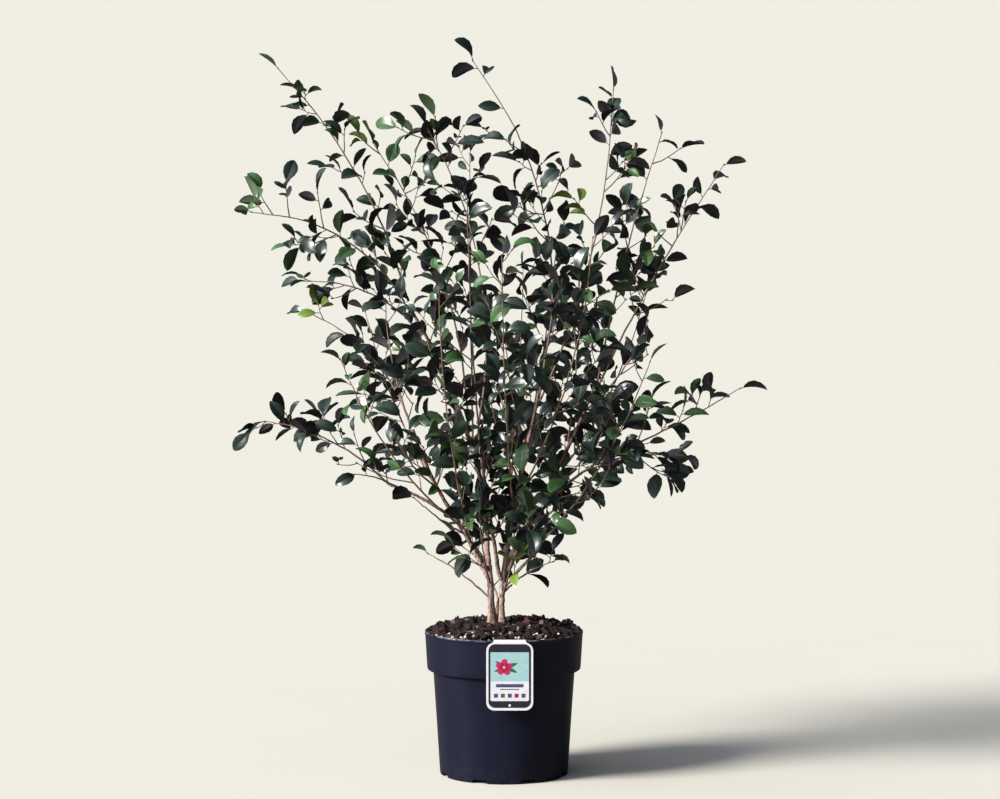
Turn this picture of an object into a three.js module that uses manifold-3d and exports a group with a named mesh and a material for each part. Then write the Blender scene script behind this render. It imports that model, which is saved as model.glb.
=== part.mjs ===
// A potted camellia shrub: a plastic nursery pot with its root ball and a hanging label, three
// stems that rise from one root, boughs that fork upwards and outwards, and masses of leafy twigs.
// Millimetres, +Z up. The origin is on the ground, in the middle of the pot's flat underside,
// and -Y is the side that faces the viewer.
import * as THREE from "three";
import { mergeVertices } from "three/addons/utils/BufferGeometryUtils.js";
import Module from "manifold-3d";

const wasm = await Module();
wasm.setup();

// Pot, root ball and label
const GAP = 0.3; // between solids that touch
const ROUND_STEPS = 24;
const POT = {
  height: 236,
  baseRadius: 105,
  neckRadius: 116.5, // where the wall meets the collar
  neckHeight: 172,
  collarRadius: 126,
  rimRadius: 130,
  wall: 1.8,
  drains: 8,
  drainWidth: 24,
  drainHeight: 6,
  drainDepth: 12,
};
const SOIL = {
  clearance: 0.6, // between the root ball and the pot's wall
  edgeHeight: 227,
  crestHeight: 248, // the flat top that the stems stand on
  crestRadius: 36,
  lump: 5,
  rings: 3,
};
const LABEL = {
  width: 74,
  height: 113,
  thick: 1.2,
  corner: 13,
  top: 233,
  offset: 9, // to the right of the pot's middle
  hookWidth: 52,
  hookDepth: 6,
  hookInset: 5.6, // from the rim's inside to the hook's leg
  standOff: 1.6, // from the rim to the back of the card
};

// Stems, boughs and foliage. A heading turns from +X, the viewer's right, towards +Y, away from
// the viewer. A lean is measured from the vertical, at a limb's foot and at its tip.
const STEMS = {
  stem_left: { foot: [-20, -3], heading: 185, lean: [1, 6], reach: 115, radius: [5.8, 4.9] },
  stem_right: { foot: [-3, -5], heading: 0, lean: [-1, 5], reach: 88, radius: [4.7, 4.4] },
  stem_back: { foot: [-11, 13], heading: 20, lean: [6, 16], reach: 104, radius: [4.9, 4.3] },
};
const BOUGHS = {
  left: { on: "stem_left", heading: 184, lean: [2, 20], reach: 232, radius: [4.6, 3.8] },
  left_high: { on: "bough_left", heading: 182, lean: [20, 30], reach: 190, radius: [3.7, 2.6] },
  left_low: { on: "stem_left", at: 0.93, heading: 192, lean: [36, 22], reach: 240, radius: [3.8, 2.6] },
  left_side: { on: "bough_left_low", at: 0.38, heading: 176, lean: [56, 70], reach: 110, radius: [2.9, 2.2] },
  centre: { on: "stem_right", heading: 10, lean: [10, 13], reach: 300, radius: [4.2, 2.9] },
  centre_left: { on: "stem_right", at: 0.9, heading: 222, lean: [12, 10], reach: 240, radius: [3.7, 2.6] },
  front: { on: "bough_centre", at: 0.2, heading: 275, lean: [46, 40], reach: 75, radius: [3.1, 2.6] },
  front_left: { on: "stem_left", at: 0.8, heading: 236, lean: [46, 40], reach: 95, radius: [3.2, 2.6] },
  front_right: { on: "stem_right", at: 0.72, heading: 322, lean: [44, 50], reach: 90, radius: [3, 2.5] },
  right: { on: "stem_back", heading: 4, lean: [30, 23], reach: 330, radius: [4, 2.7] },
  right_low: { on: "stem_back", at: 0.88, heading: 352, lean: [24, 58], reach: 250, radius: [3.3, 2.2] },
  back: { on: "stem_back", at: 0.7, heading: 84, lean: [40, 30], reach: 120, radius: [3.4, 2.6] },
  back_left: { on: "stem_left", at: 0.66, heading: 128, lean: [44, 38], reach: 110, radius: [3.2, 2.5] },
  back_right: { on: "bough_right", at: 0.12, heading: 56, lean: [48, 40], reach: 90, radius: [3, 2.5] },
};
const MASSES = {
  top_left: { on: "bough_left_high", heading: 180, lean: [18, 40], reach: 458, spread: 60 },
  left: { on: "bough_left_high", at: 0.96, heading: 192, lean: [34, 82], reach: 330, spread: 80 },
  left_upper: { on: "bough_left_high", at: 0.8, heading: 172, lean: [48, 88], reach: 225, spread: 70 },
  left_mid: { on: "bough_left_low", heading: 174, lean: [22, 62], reach: 275, spread: 90 },
  left_inner: { on: "bough_left_low", at: 0.95, heading: 206, lean: [22, 2], reach: 270, spread: 100 },
  left_front: { on: "bough_left_low", at: 0.6, heading: 232, lean: [60, 34], reach: 150, spread: 90 },
  left_side: { on: "bough_left_side", heading: 182, lean: [48, 80], reach: 248, spread: 90 },
  left_under: { on: "bough_left_side", at: 0.9, heading: 212, lean: [64, 82], reach: 80, spread: 70 },
  crown_left: { on: "bough_left", at: 0.9, heading: 172, lean: [6, 32], reach: 505, spread: 100 },
  crown_back: { on: "bough_left", at: 0.78, heading: 92, lean: [28, 12], reach: 520, spread: 110 },
  top: { on: "bough_centre", heading: 183, lean: [-8, 32], reach: 575, spread: 90 },
  top_right: { on: "bough_centre", at: 0.95, heading: 352, lean: [22, 4], reach: 530, spread: 90 },
  crown_middle: { on: "bough_centre_left", heading: 184, lean: [-6, 26], reach: 525, spread: 90 },
  crown_front: { on: "bough_centre_left", at: 0.95, heading: 262, lean: [28, 10], reach: 420, spread: 110 },
  heart: { on: "bough_centre", at: 0.5, heading: 120, lean: [46, 20], reach: 200, spread: 100 },
  heart_front: { on: "bough_centre", at: 0.7, heading: 250, lean: [46, 16], reach: 200, spread: 100 },
  heart_right: { on: "bough_right", at: 0.42, heading: 318, lean: [60, 30], reach: 190, spread: 100 },
  front: { on: "bough_front", heading: 266, lean: [50, 16], reach: 500, spread: 110 },
  front_upper: { on: "bough_front", at: 0.9, heading: 325, lean: [30, 8], reach: 470, spread: 110 },
  front_left: { on: "bough_front_left", heading: 222, lean: [54, 30], reach: 390, spread: 110 },
  front_left_upper: { on: "bough_front_left", at: 0.9, heading: 254, lean: [36, 6], reach: 470, spread: 100 },
  front_low: { on: "bough_front_right", heading: 282, lean: [52, 68], reach: 150, spread: 90 },
  front_right: { on: "bough_front_right", at: 0.9, heading: 322, lean: [46, 26], reach: 400, spread: 100 },
  right_upper: { on: "bough_right", heading: 14, lean: [12, 18], reach: 425, spread: 90 },
  right: { on: "bough_right", at: 0.95, heading: 358, lean: [26, 33], reach: 430, spread: 80 },
  right_mid: { on: "bough_right", at: 0.85, heading: 340, lean: [46, 24], reach: 180, spread: 80 },
  right_inner: { on: "bough_right", at: 0.66, heading: 60, lean: [14, 2], reach: 300, spread: 100 },
  right_side: { on: "bough_right_low", heading: 4, lean: [66, 60], reach: 248, spread: 70 },
  right_under: { on: "bough_right_low", at: 0.93, heading: 330, lean: [74, 92], reach: 160, spread: 80 },
  right_low: { on: "bough_right_low", at: 0.5, heading: 320, lean: [62, 84], reach: 85, spread: 70 },
  back: { on: "bough_back", heading: 84, lean: [50, 16], reach: 510, spread: 110 },
  back_upper: { on: "bough_back", at: 0.9, heading: 48, lean: [20, 10], reach: 470, spread: 110 },
  back_left: { on: "bough_back_left", heading: 128, lean: [50, 26], reach: 450, spread: 110 },
  back_right: { on: "bough_back_right", heading: 44, lean: [50, 24], reach: 430, spread: 110 },
  foot_left: { on: "stem_left", at: 0.4, heading: 176, lean: [48, 62], reach: 120, spread: 40 },
  foot_right: { on: "stem_back", at: 0.5, heading: 350, lean: [46, 70], reach: 95, spread: 60 },
  low_front: { on: "stem_left", at: 0.6, heading: 262, lean: [58, 26], reach: 175, spread: 95 },
  low_front_right: { on: "stem_right", at: 0.56, heading: 284, lean: [46, 30], reach: 175, spread: 95 },
  low_left: { on: "bough_left_low", at: 0.24, heading: 218, lean: [62, 52], reach: 115, spread: 80 },
  low_back: { on: "stem_back", at: 0.34, heading: 104, lean: [58, 34], reach: 175, spread: 95 },
};

// How every mass grows, as shares of its own stem where no unit is given
const GROWTH = {
  stemRadius: [2, 1],
  stemSteps: 4,
  firstTwig: 0.12,
  lastTwig: 0.76,
  twigSpacing: 92, // millimetres
  twigAngle: 48,
  twigRise: 0.22,
  twigRadius: [1.5, 0.9],
  shortened: 0.6, // what is tried when a whole twig or leaf has no room
  leafSpacing: 31, // millimetres
  leafAngle: 54,
  leafSize: [62, 34],
  leafThick: 1.8,
  leafScale: [1.1, 0.78], // of the leaves at a mass's foot, and at its tip
  leafDroop: 0.2,
  leafSink: 0.3, // how much a leaf's direction turns down
  leafLevel: 0.25, // how level blades lie: 0 leaves them turned any way
  leafRoom: 28, // between the middles of two leaves of a mass
  leafRoot: 0.5, // how far a leaf's root goes past the middle of its twig, in twig radii
  turn: 137.5, // degrees from one leaf or twig to the next
  margin: 2, // how much nearer its own stem than any other a leaf must be
  limbClearance: 2.5,
  lowest: 262, // nothing hangs lower than this, just over the soil
};

// A small seeded generator, so that a seed always grows the same mass.
function seededRandom(seed) {
  let state = seed;
  return () => {
    state = (Math.imul(state, 1664525) + 1013904223) >>> 0;
    return state / 2 ** 32;
  };
}

function direction(heading, lean) {
  const turned = THREE.MathUtils.degToRad(heading);
  const tilted = THREE.MathUtils.degToRad(lean);
  return new THREE.Vector3(
    Math.cos(turned) * Math.sin(tilted),
    Math.sin(turned) * Math.sin(tilted),
    Math.cos(tilted),
  );
}

// A centre line of straight stretches
function polyline(points) {
  const path = new THREE.CurvePath();
  points.slice(1).forEach((point, i) => path.add(new THREE.LineCurve3(points[i], point)));
  path.points = points;
  return path;
}

// The centre line of a limb whose lean changes evenly from its first stretch to its last
function leaningPath(start, { heading, lean, reach }, steps) {
  const points = [start];
  for (let i = 0; i < steps; i++) {
    const tilt = THREE.MathUtils.lerp(lean[0], lean[1], i / (steps - 1));
    points.push(points[i].clone().addScaledVector(direction(heading, tilt), reach / steps));
  }
  return polyline(points);
}

// A tapering tube along a path. A stem's foot is flat on the ground, and swells into its roots.
function bentTube(path, [footRadius, tipRadius], sides, flare = 0) {
  const steps = path.points.length - 1;
  const tube = new THREE.CylinderGeometry(tipRadius, footRadius, 1, sides, steps);
  const frames = path.computeFrenetFrames(steps);
  const place = tube.attributes.position;
  for (let i = 0; i < place.count; i++) {
    const along = place.getY(i) + 0.5;
    const step = Math.round(along * steps);
    const swell = 1 + flare * Math.max(0, 1 - 3 * along) ** 2;
    const point = path.points[step]
      .clone()
      .addScaledVector(frames.normals[step], swell * place.getX(i))
      .addScaledVector(frames.binormals[step], -swell * place.getZ(i));
    if (flare && step === 0) point.z = path.points[0].z;
    place.setXYZ(i, point.x, point.y, point.z);
  }
  return tube;
}

function solidOf(geometry) {
  const bare = geometry.clone();
  bare.deleteAttribute("normal");
  bare.deleteAttribute("uv");
  const merged = mergeVertices(bare, 1e-3);
  return new wasm.Manifold(
    new wasm.Mesh({
      numProp: 3,
      vertProperties: merged.attributes.position.array,
      triVerts: new Uint32Array(merged.index.array),
    }),
  );
}

function geometryOf(solid) {
  const { vertProperties, triVerts } = solid.getMesh();
  const geometry = new THREE.BufferGeometry();
  geometry.setAttribute("position", new THREE.BufferAttribute(vertProperties, 3));
  geometry.setIndex(new THREE.BufferAttribute(triVerts, 1));
  geometry.computeVertexNormals();
  return geometry;
}

// Where a limb leaves the one that carries it, on from its tip or beside it, just clear of it
function startOn(carrier, { at = 1, heading, lean, radius }) {
  const point = carrier.path.getPoint(at);
  const tangent = carrier.path.getTangent(at);
  const away = direction(heading, lean[0]);
  const carrierRadius = THREE.MathUtils.lerp(...carrier.radius, at);
  if (at === 1) {
    const tilted = Math.max(carrierRadius, radius[0]) * Math.sin(tangent.angleTo(away));
    return point.addScaledVector(tangent, tilted + GAP);
  }
  const outward = away.clone().addScaledVector(tangent, -away.dot(tangent)).normalize();
  const tilted = radius[0] * Math.sin(outward.angleTo(away));
  return point.addScaledVector(outward, carrierRadius + tilted + GAP);
}

// All limbs by name, each with its path, from the ground up
function layOutLimbs() {
  const limbs = new Map();
  for (const [name, stem] of Object.entries(STEMS)) {
    const foot = new THREE.Vector3(...stem.foot, SOIL.crestHeight + GAP);
    limbs.set(name, { ...stem, path: leaningPath(foot, stem, 6) });
  }
  for (const [name, bough] of Object.entries(BOUGHS)) {
    const start = startOn(limbs.get(bough.on), bough);
    limbs.set(`bough_${name}`, { ...bough, path: leaningPath(start, bough, 5) });
  }
  return limbs;
}

function layOutMasses(limbs) {
  return Object.entries(MASSES).map(([name, mass], index) => {
    const stem = { ...mass, name: `foliage_${name}`, radius: GROWTH.stemRadius, seed: 7 + 31 * index };
    const start = startOn(limbs.get(mass.on), stem);
    return { ...stem, path: leaningPath(start, stem, GROWTH.stemSteps) };
  });
}

function distanceTo(points, place) {
  const segment = new THREE.Line3();
  const nearest = new THREE.Vector3();
  let least = Infinity;
  for (let i = 1; i < points.length; i++) {
    segment.set(points[i - 1], points[i]).closestPointToPoint(place, true, nearest);
    least = Math.min(least, nearest.distanceTo(place));
  }
  return least;
}

// A mass's own space is what lies nearer its stem than any other mass's, clear of the limbs.
function isFree(place, mass, masses, limbs) {
  if (place.z < GROWTH.lowest) return false;
  for (const limb of limbs.values()) {
    if (distanceTo(limb.path.points, place) < limb.radius[0] + GROWTH.limbClearance) return false;
  }
  const own = distanceTo(mass.path.points, place) + GROWTH.margin;
  return masses.every((other) => other === mass || distanceTo(other.path.points, place) > own);
}

// A direction that leaves a twig at an angle, turned round it.
function branchOff(tangent, angle, turn) {
  const side = new THREE.Vector3(0, 0, 1).cross(tangent).normalize();
  side.applyAxisAngle(tangent, THREE.MathUtils.degToRad(turn));
  return tangent.clone().applyAxisAngle(side, THREE.MathUtils.degToRad(angle));
}

// An eight-sided blade, pointed at both ends, whose tip droops.
function leafBlade({ root, along, up }, scale) {
  const [length, width] = GROWTH.leafSize;
  const across = new THREE.Vector3().crossVectors(up, along).normalize();
  const face = new THREE.Vector3().crossVectors(along, across);
  const blade = new THREE.OctahedronGeometry(1);
  const place = blade.attributes.position;
  for (let i = 0; i < place.count; i++) {
    const share = (place.getX(i) + 1) / 2;
    const lift = (place.getZ(i) * GROWTH.leafThick) / 2 - GROWTH.leafDroop * scale * length * share ** 2;
    const point = root
      .clone()
      .addScaledVector(along, share * scale * length)
      .addScaledVector(across, (place.getY(i) * scale * width) / 2)
      .addScaledVector(face, lift);
    place.setXYZ(i, point.x, point.y, point.z);
  }
  return blade;
}

// Takes room for a blade if all of it but its root is in the open, apart from those before it.
function claimRoom(blade, root, isOpen, middles) {
  const place = blade.attributes.position;
  const middle = new THREE.Vector3();
  for (let i = 0; i < place.count; i++) {
    const corner = new THREE.Vector3().fromBufferAttribute(place, i);
    middle.addScaledVector(corner, 1 / place.count);
    if (corner.distanceTo(root) > 5 && !isOpen(corner)) return false;
  }
  const apart = middles.every((other) => other.distanceTo(middle) > GROWTH.leafRoom);
  if (!apart || !isOpen(middle)) return false;
  middles.push(middle);
  return true;
}

// Leaves that stand off one twig in turn, the last one at its tip.
function leavesAlong(path, { radius, from, outward }, random, isOpen, middles) {
  const blades = [];
  const length = path.getLength();
  const count = Math.max(2, Math.round((length * (1 - from)) / GROWTH.leafSpacing));
  const firstTurn = 360 * random();
  for (let i = 0; i < count; i++) {
    const at = THREE.MathUtils.lerp(from, 0.97, (i + 1) / count);
    const tangent = path.getTangent(at);
    const angle = i === count - 1 ? 14 : GROWTH.leafAngle * (0.8 + 0.4 * random());
    const along = branchOff(tangent, angle, firstTurn + i * GROWTH.turn);
    along.z -= GROWTH.leafSink * random();
    along.normalize();
    const up = new THREE.Vector3(random() - 0.5, random() - 0.5, GROWTH.leafLevel);
    const root = path.getPoint(at).addScaledVector(along, -GROWTH.leafRoot * radius);
    const scale = THREE.MathUtils.lerp(...GROWTH.leafScale, outward * at) * (0.9 + 0.2 * random());
    const free = [scale, GROWTH.shortened * scale]
      .map((tried) => leafBlade({ root, along, up }, tried))
      .find((blade) => claimRoom(blade, root, isOpen, middles));
    if (free) blades.push(free);
  }
  return blades;
}

// A side twig of a mass: it leaves the stem at an angle, and turns up a little.
function twigPath(mass, at, turn, length, isOpen) {
  const root = mass.path.getPoint(at);
  const out = branchOff(mass.path.getTangent(at), GROWTH.twigAngle, turn);
  out.z += GROWTH.twigRise;
  const middle = root.clone().addScaledVector(out.normalize(), length / 2);
  const tip = root.clone().addScaledVector(out, length);
  return isOpen(middle) && isOpen(tip) ? polyline([root, tip]) : null;
}

// One mass: a stem, the twigs that branch from it, and the leaves on them all, fused into one.
function growMass(mass, masses, limbs) {
  const branching = seededRandom(mass.seed);
  const leafing = seededRandom(mass.seed + 1);
  const isOpen = (place) => isFree(place, mass, masses, limbs);
  const middles = [];
  const pieces = [bentTube(mass.path, GROWTH.stemRadius, 3)];
  const onStem = { radius: GROWTH.stemRadius[1], from: 0.08, outward: 1 };
  pieces.push(...leavesAlong(mass.path, onStem, leafing, isOpen, middles));
  const stretch = GROWTH.lastTwig - GROWTH.firstTwig;
  const twigs = Math.round((stretch * mass.reach) / GROWTH.twigSpacing) + 1;
  const firstTurn = 360 * branching();
  for (let i = 0; i < twigs; i++) {
    const at = GROWTH.firstTwig + (stretch * (i + 0.5 * branching())) / twigs;
    const length = mass.spread * (1.15 - 0.5 * at) * (0.8 + 0.4 * branching());
    const turn = firstTurn + i * GROWTH.turn;
    const path =
      twigPath(mass, at, turn, length, isOpen) ??
      twigPath(mass, at, turn, GROWTH.shortened * length, isOpen);
    if (!path) continue;
    const onTwig = { radius: GROWTH.twigRadius[1], from: 0.2, outward: at };
    const blades = leavesAlong(path, onTwig, leafing, isOpen, middles);
    if (blades.length > 0) pieces.push(bentTube(path, GROWTH.twigRadius, 3), ...blades);
  }
  return geometryOf(wasm.Manifold.union(pieces.map(solidOf)));
}

// A profile in radius and height, turned round the upright axis.
function turned(profile) {
  const points = profile.map(([radius, height]) => new THREE.Vector2(radius, height));
  return new THREE.LatheGeometry(points, ROUND_STEPS).rotateX(Math.PI / 2);
}

// A thin-walled pot with a deep collar. Drain slots cut the corner of its floor.
function potShape() {
  const { height, baseRadius, neckRadius, neckHeight, collarRadius, rimRadius, wall } = POT;
  const shell = solidOf(
    turned([
      [0, 0],
      [baseRadius, 0],
      [neckRadius, neckHeight],
      [collarRadius, neckHeight + wall],
      [rimRadius, height],
      [rimRadius - wall, height],
      [collarRadius - wall, neckHeight + 2 * wall],
      [neckRadius - wall, neckHeight + wall],
      [baseRadius - wall, 2 * wall],
      [0, 2 * wall],
    ]),
  );
  const slots = Array.from({ length: POT.drains }, (_, i) => {
    const slot = new THREE.BoxGeometry(2 * POT.drainDepth, POT.drainWidth, 2 * POT.drainHeight);
    slot.translate(baseRadius, 0, 0).rotateZ((2 * Math.PI * (i + 0.5)) / POT.drains);
    return solidOf(slot);
  });
  return geometryOf(shell.subtract(wasm.Manifold.union(slots)));
}

// The root ball, with a lumpy top that is flat where the stems stand.
function soilShape() {
  const { clearance, edgeHeight, crestHeight, crestRadius, lump, rings } = SOIL;
  const inset = POT.wall + clearance;
  const edgeRadius = POT.rimRadius - inset - 1;
  const top = Array.from({ length: rings + 1 }, (_, i) => [
    THREE.MathUtils.lerp(edgeRadius, crestRadius, i / rings),
    THREE.MathUtils.lerp(edgeHeight, crestHeight, Math.sqrt(i / rings)),
  ]);
  const ball = turned([
    [0, 2 * POT.wall + clearance],
    [POT.baseRadius - inset, 2 * POT.wall + clearance],
    [POT.neckRadius - inset, POT.neckHeight + POT.wall + clearance],
    [POT.collarRadius - inset, POT.neckHeight + 2 * POT.wall + clearance],
    ...top,
    [0, crestHeight],
  ]);
  const place = ball.attributes.position;
  for (let i = 0; i < place.count; i++) {
    const radius = Math.hypot(place.getX(i), place.getY(i));
    if (place.getZ(i) < edgeHeight + 1 || radius < crestRadius + 1) continue;
    const angle = Math.atan2(place.getY(i), place.getX(i));
    const wave = Math.sin(5 * angle + radius) + Math.sin(9 * angle - 0.13 * radius);
    place.setZ(i, place.getZ(i) + (lump * wave) / 2);
  }
  return ball;
}

// A card that stands before the pot, on a strap that hooks over the rim.
function labelShape() {
  const { width, height, thick, corner, top, offset, hookWidth, hookDepth, hookInset, standOff } = LABEL;
  const card = new THREE.Shape();
  const [right, low, high] = [width / 2, top - height, top];
  card.moveTo(-right + corner, low).lineTo(right - corner, low);
  card.absarc(right - corner, low + corner, corner, -Math.PI / 2, 0);
  card.absarc(right - corner, high - corner, corner, 0, Math.PI / 2);
  card.absarc(-right + corner, high - corner, corner, Math.PI / 2, Math.PI);
  card.absarc(-right + corner, low + corner, corner, Math.PI, 1.5 * Math.PI);
  const front = -(POT.rimRadius + standOff);
  const plate = new THREE.ExtrudeGeometry(card, { depth: thick, bevelEnabled: false, curveSegments: 4 });
  plate.rotateX(Math.PI / 2).translate(0, front, 0);
  const hook = new THREE.Shape();
  const crown = POT.height + 1.5;
  const inside = -(POT.rimRadius - POT.wall) + hookInset;
  hook.moveTo(front - thick, top - corner).lineTo(front, top - corner).lineTo(front, crown);
  hook.lineTo(inside, crown).lineTo(inside, crown - hookDepth).lineTo(inside + thick, crown - hookDepth);
  hook.lineTo(inside + thick, crown + thick).lineTo(front - thick, crown + thick);
  const strap = new THREE.ExtrudeGeometry(hook, { depth: hookWidth, bevelEnabled: false });
  strap.rotateX(Math.PI / 2).rotateZ(Math.PI / 2).translate(-hookWidth / 2, 0, 0);
  return geometryOf(solidOf(plate).add(solidOf(strap)).translate([offset, 0, 0]));
}

const MATERIALS = {
  pot: new THREE.MeshStandardMaterial({ color: 0x252636, roughness: 0.42 }),
  soil: new THREE.MeshStandardMaterial({ color: 0x33241d, roughness: 0.95 }),
  label: new THREE.MeshStandardMaterial({ color: 0xe9e6ea, roughness: 0.35 }),
  bark: new THREE.MeshStandardMaterial({ color: 0xa3826c, roughness: 0.85 }),
  leaves: new THREE.MeshStandardMaterial({ color: 0x1c3324, roughness: 0.3 }),
};

const shrub = new THREE.Group();
function addPart(name, geometry, material) {
  const mesh = new THREE.Mesh(geometry, MATERIALS[material]);
  mesh.name = name;
  shrub.add(mesh);
}

const limbs = layOutLimbs();
const masses = layOutMasses(limbs);
addPart("pot", potShape(), "pot");
addPart("soil", soilShape(), "soil");
addPart("label", labelShape(), "label");
for (const [name, { path, radius }] of limbs) {
  const shape = name in STEMS ? bentTube(path, radius, 8, 0.55) : bentTube(path, radius, 6);
  addPart(name, shape, "bark");
}
for (const mass of masses) addPart(mass.name, growMass(mass, masses, limbs), "leaves");

export default shrub;
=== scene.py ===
import math
import bpy
import numpy as np
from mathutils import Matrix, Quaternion, Vector


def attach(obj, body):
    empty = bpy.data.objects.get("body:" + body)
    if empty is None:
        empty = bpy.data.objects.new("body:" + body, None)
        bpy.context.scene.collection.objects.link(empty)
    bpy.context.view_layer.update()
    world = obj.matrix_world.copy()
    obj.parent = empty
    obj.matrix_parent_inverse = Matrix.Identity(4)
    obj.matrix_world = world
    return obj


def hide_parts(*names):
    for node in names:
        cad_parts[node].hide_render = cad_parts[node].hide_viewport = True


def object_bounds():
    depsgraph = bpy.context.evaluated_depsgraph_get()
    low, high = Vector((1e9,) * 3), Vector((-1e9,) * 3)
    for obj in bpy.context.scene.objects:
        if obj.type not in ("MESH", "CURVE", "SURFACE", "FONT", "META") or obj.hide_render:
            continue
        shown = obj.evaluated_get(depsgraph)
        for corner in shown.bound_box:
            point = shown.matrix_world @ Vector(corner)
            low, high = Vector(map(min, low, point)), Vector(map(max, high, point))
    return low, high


# A potted camellia shrub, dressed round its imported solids. Objects are in metres. The plant's own
# tables are in millimetres and degrees.

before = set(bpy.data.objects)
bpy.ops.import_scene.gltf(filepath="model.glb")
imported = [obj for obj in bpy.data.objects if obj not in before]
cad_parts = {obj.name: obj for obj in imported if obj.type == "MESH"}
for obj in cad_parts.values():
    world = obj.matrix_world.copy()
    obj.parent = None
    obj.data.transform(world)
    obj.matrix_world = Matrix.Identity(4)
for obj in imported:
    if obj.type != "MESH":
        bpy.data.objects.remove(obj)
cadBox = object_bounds()
mm = 0.001


# Sets several properties at once.
def adjust(thing, **settings):
    for name, value in settings.items():
        setattr(thing, name, value)
    return thing


def makeActive(*pieces):
    bpy.ops.object.select_all(action="DESELECT")
    for piece in pieces:
        piece.select_set(True)
    bpy.context.view_layer.objects.active = pieces[0]


# Everything is deselected before a new piece is started, because operators act on all selected.
def startPiece(primitive, **settings):
    bpy.ops.object.select_all(action="DESELECT")
    primitive(**settings)
    return bpy.context.object


def putPlaceInMesh(piece):
    makeActive(piece)
    bpy.ops.object.transform_apply(location=True, rotation=True, scale=True)


def editWhole():
    bpy.ops.object.mode_set(mode="EDIT")
    bpy.ops.mesh.select_all(action="SELECT")


def endEdit():
    bpy.ops.object.mode_set(mode="OBJECT")


def extrude(*step):
    bpy.ops.mesh.extrude_region_move(TRANSFORM_OT_translate={"value": step})


def modify(piece, kind, **settings):
    modifier = adjust(piece.modifiers.new(kind.lower(), kind), **settings)
    makeActive(piece)
    bpy.ops.object.modifier_apply(modifier=modifier.name)


# Presses a pattern of swellings into a piece.
def press(piece, name, kind, size, height, **settings):
    pattern = adjust(bpy.data.textures.new(name, kind), noise_scale=size)
    settings = {"texture": pattern, "texture_coords": "GLOBAL", "strength": height, **settings}
    modify(piece, "DISPLACE", **settings)


def joinAll(pieces):
    makeActive(*pieces)
    bpy.ops.object.join()
    return pieces[0]


def shadeByAngle(piece, degrees):
    makeActive(piece)
    bpy.ops.object.shade_smooth_by_angle(angle=math.radians(degrees))


def tidyNormals(piece):
    makeActive(piece)
    editWhole()
    bpy.ops.mesh.remove_doubles(threshold=0.00001)
    bpy.ops.mesh.normals_make_consistent(inside=False)
    endEdit()


def meshFromArrays(name, points, faces):
    mesh = bpy.data.meshes.new(name)
    mesh.from_pydata((np.array(points) * mm).tolist(), [], faces)
    piece = bpy.data.objects.new(name, mesh)
    bpy.context.scene.collection.objects.link(piece)
    return piece


# Gives a piece its materials. Kinds are the faces' slots, where it has more than one.
def paint(piece, *materials, kinds=None):
    piece.data.materials.clear()
    for material in materials:
        piece.data.materials.append(material)
    if kinds is not None:
        piece.data.polygons.foreach_set("material_index", kinds.astype(np.int32))


def finishPiece(piece, name, slot, *replaced):
    piece.name = name
    piece.data.name = name
    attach(piece, "root")
    if replaced:
        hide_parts(*replaced)
    print("made", name, len(piece.data.polygons), "faces")


def blend(low, high, share):
    return low + (high - low) * share


# Shader nodes. Each input is given as a plain value or as another node's output.

def feed(node, inputs):
    for name, value in inputs.items():
        socket = node.inputs[name]
        if isinstance(value, bpy.types.NodeSocket):
            node.id_data.links.new(value, socket)
        else:
            socket.default_value = (*value, 1) if socket.type == "RGBA" else value


def addNode(tree, kind, output, inputs=None, **settings):
    node = adjust(tree.nodes.new("ShaderNode" + kind), **settings)
    feed(node, inputs or {})
    return node.outputs[output]


def scaled(tree, value, factor):
    return addNode(tree, "Math", 0, {0: value, 1: factor}, operation="MULTIPLY")


# A value taken from one range to another
def ramp(tree, value, source=(0, 1), target=(0, 1)):
    ends = {"From Min": source[0], "From Max": source[1], "To Min": target[0], "To Max": target[1]}
    return addNode(tree, "MapRange", "Result", {"Value": value, **ends})


def overlay(tree, mask, under, over):
    inputs = {"Factor": mask, "A": under, "B": over}
    return addNode(tree, "Mix", "Result", inputs, data_type="RGBA")


def newGroup(name, inputs, outputs):
    group = bpy.data.node_groups.new(name, "ShaderNodeTree")
    for label, value in inputs.items():
        kind = "NodeSocket" + {3: "Vector", 4: "Color"}.get(np.size(value), "Float")
        socket = group.interface.new_socket(label, in_out="INPUT", socket_type=kind)
        socket.default_value = value
    for label, kind in outputs.items():
        group.interface.new_socket(label, in_out="OUTPUT", socket_type="NodeSocket" + kind)
    return group, group.nodes.new("NodeGroupInput").outputs, group.nodes.new("NodeGroupOutput")


def stretchedPlace(group, stretch):
    place = addNode(group, "TexCoord", "Object")
    return addNode(group, "VectorMath", 0, {0: place, 1: stretch}, operation="MULTIPLY")


# Two colours mottled by noise in object space. Stretch squeezes the pattern along an axis.
def makeMottle():
    group, entry, outcome = newGroup(
        "mottle",
        {
            "Scale": 40, "Stretch": (1, 1, 1), "Detail": 4, "Low": 0.35, "High": 0.65,
            "First": (0, 0, 0, 1), "Second": (1, 1, 1, 1),
        },
        {"Color": "Color", "Mask": "Float"},
    )
    place = stretchedPlace(group, entry["Stretch"])
    grain = {"Scale": entry["Scale"], "Detail": entry["Detail"], "Roughness": 0.6}
    cloud = addNode(group, "TexNoise", "Fac", {"Vector": place, **grain})
    mask = ramp(group, cloud, (entry["Low"], entry["High"]))
    feed(outcome, {"Color": overlay(group, mask, entry["First"], entry["Second"]), "Mask": mask})
    return group


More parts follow.
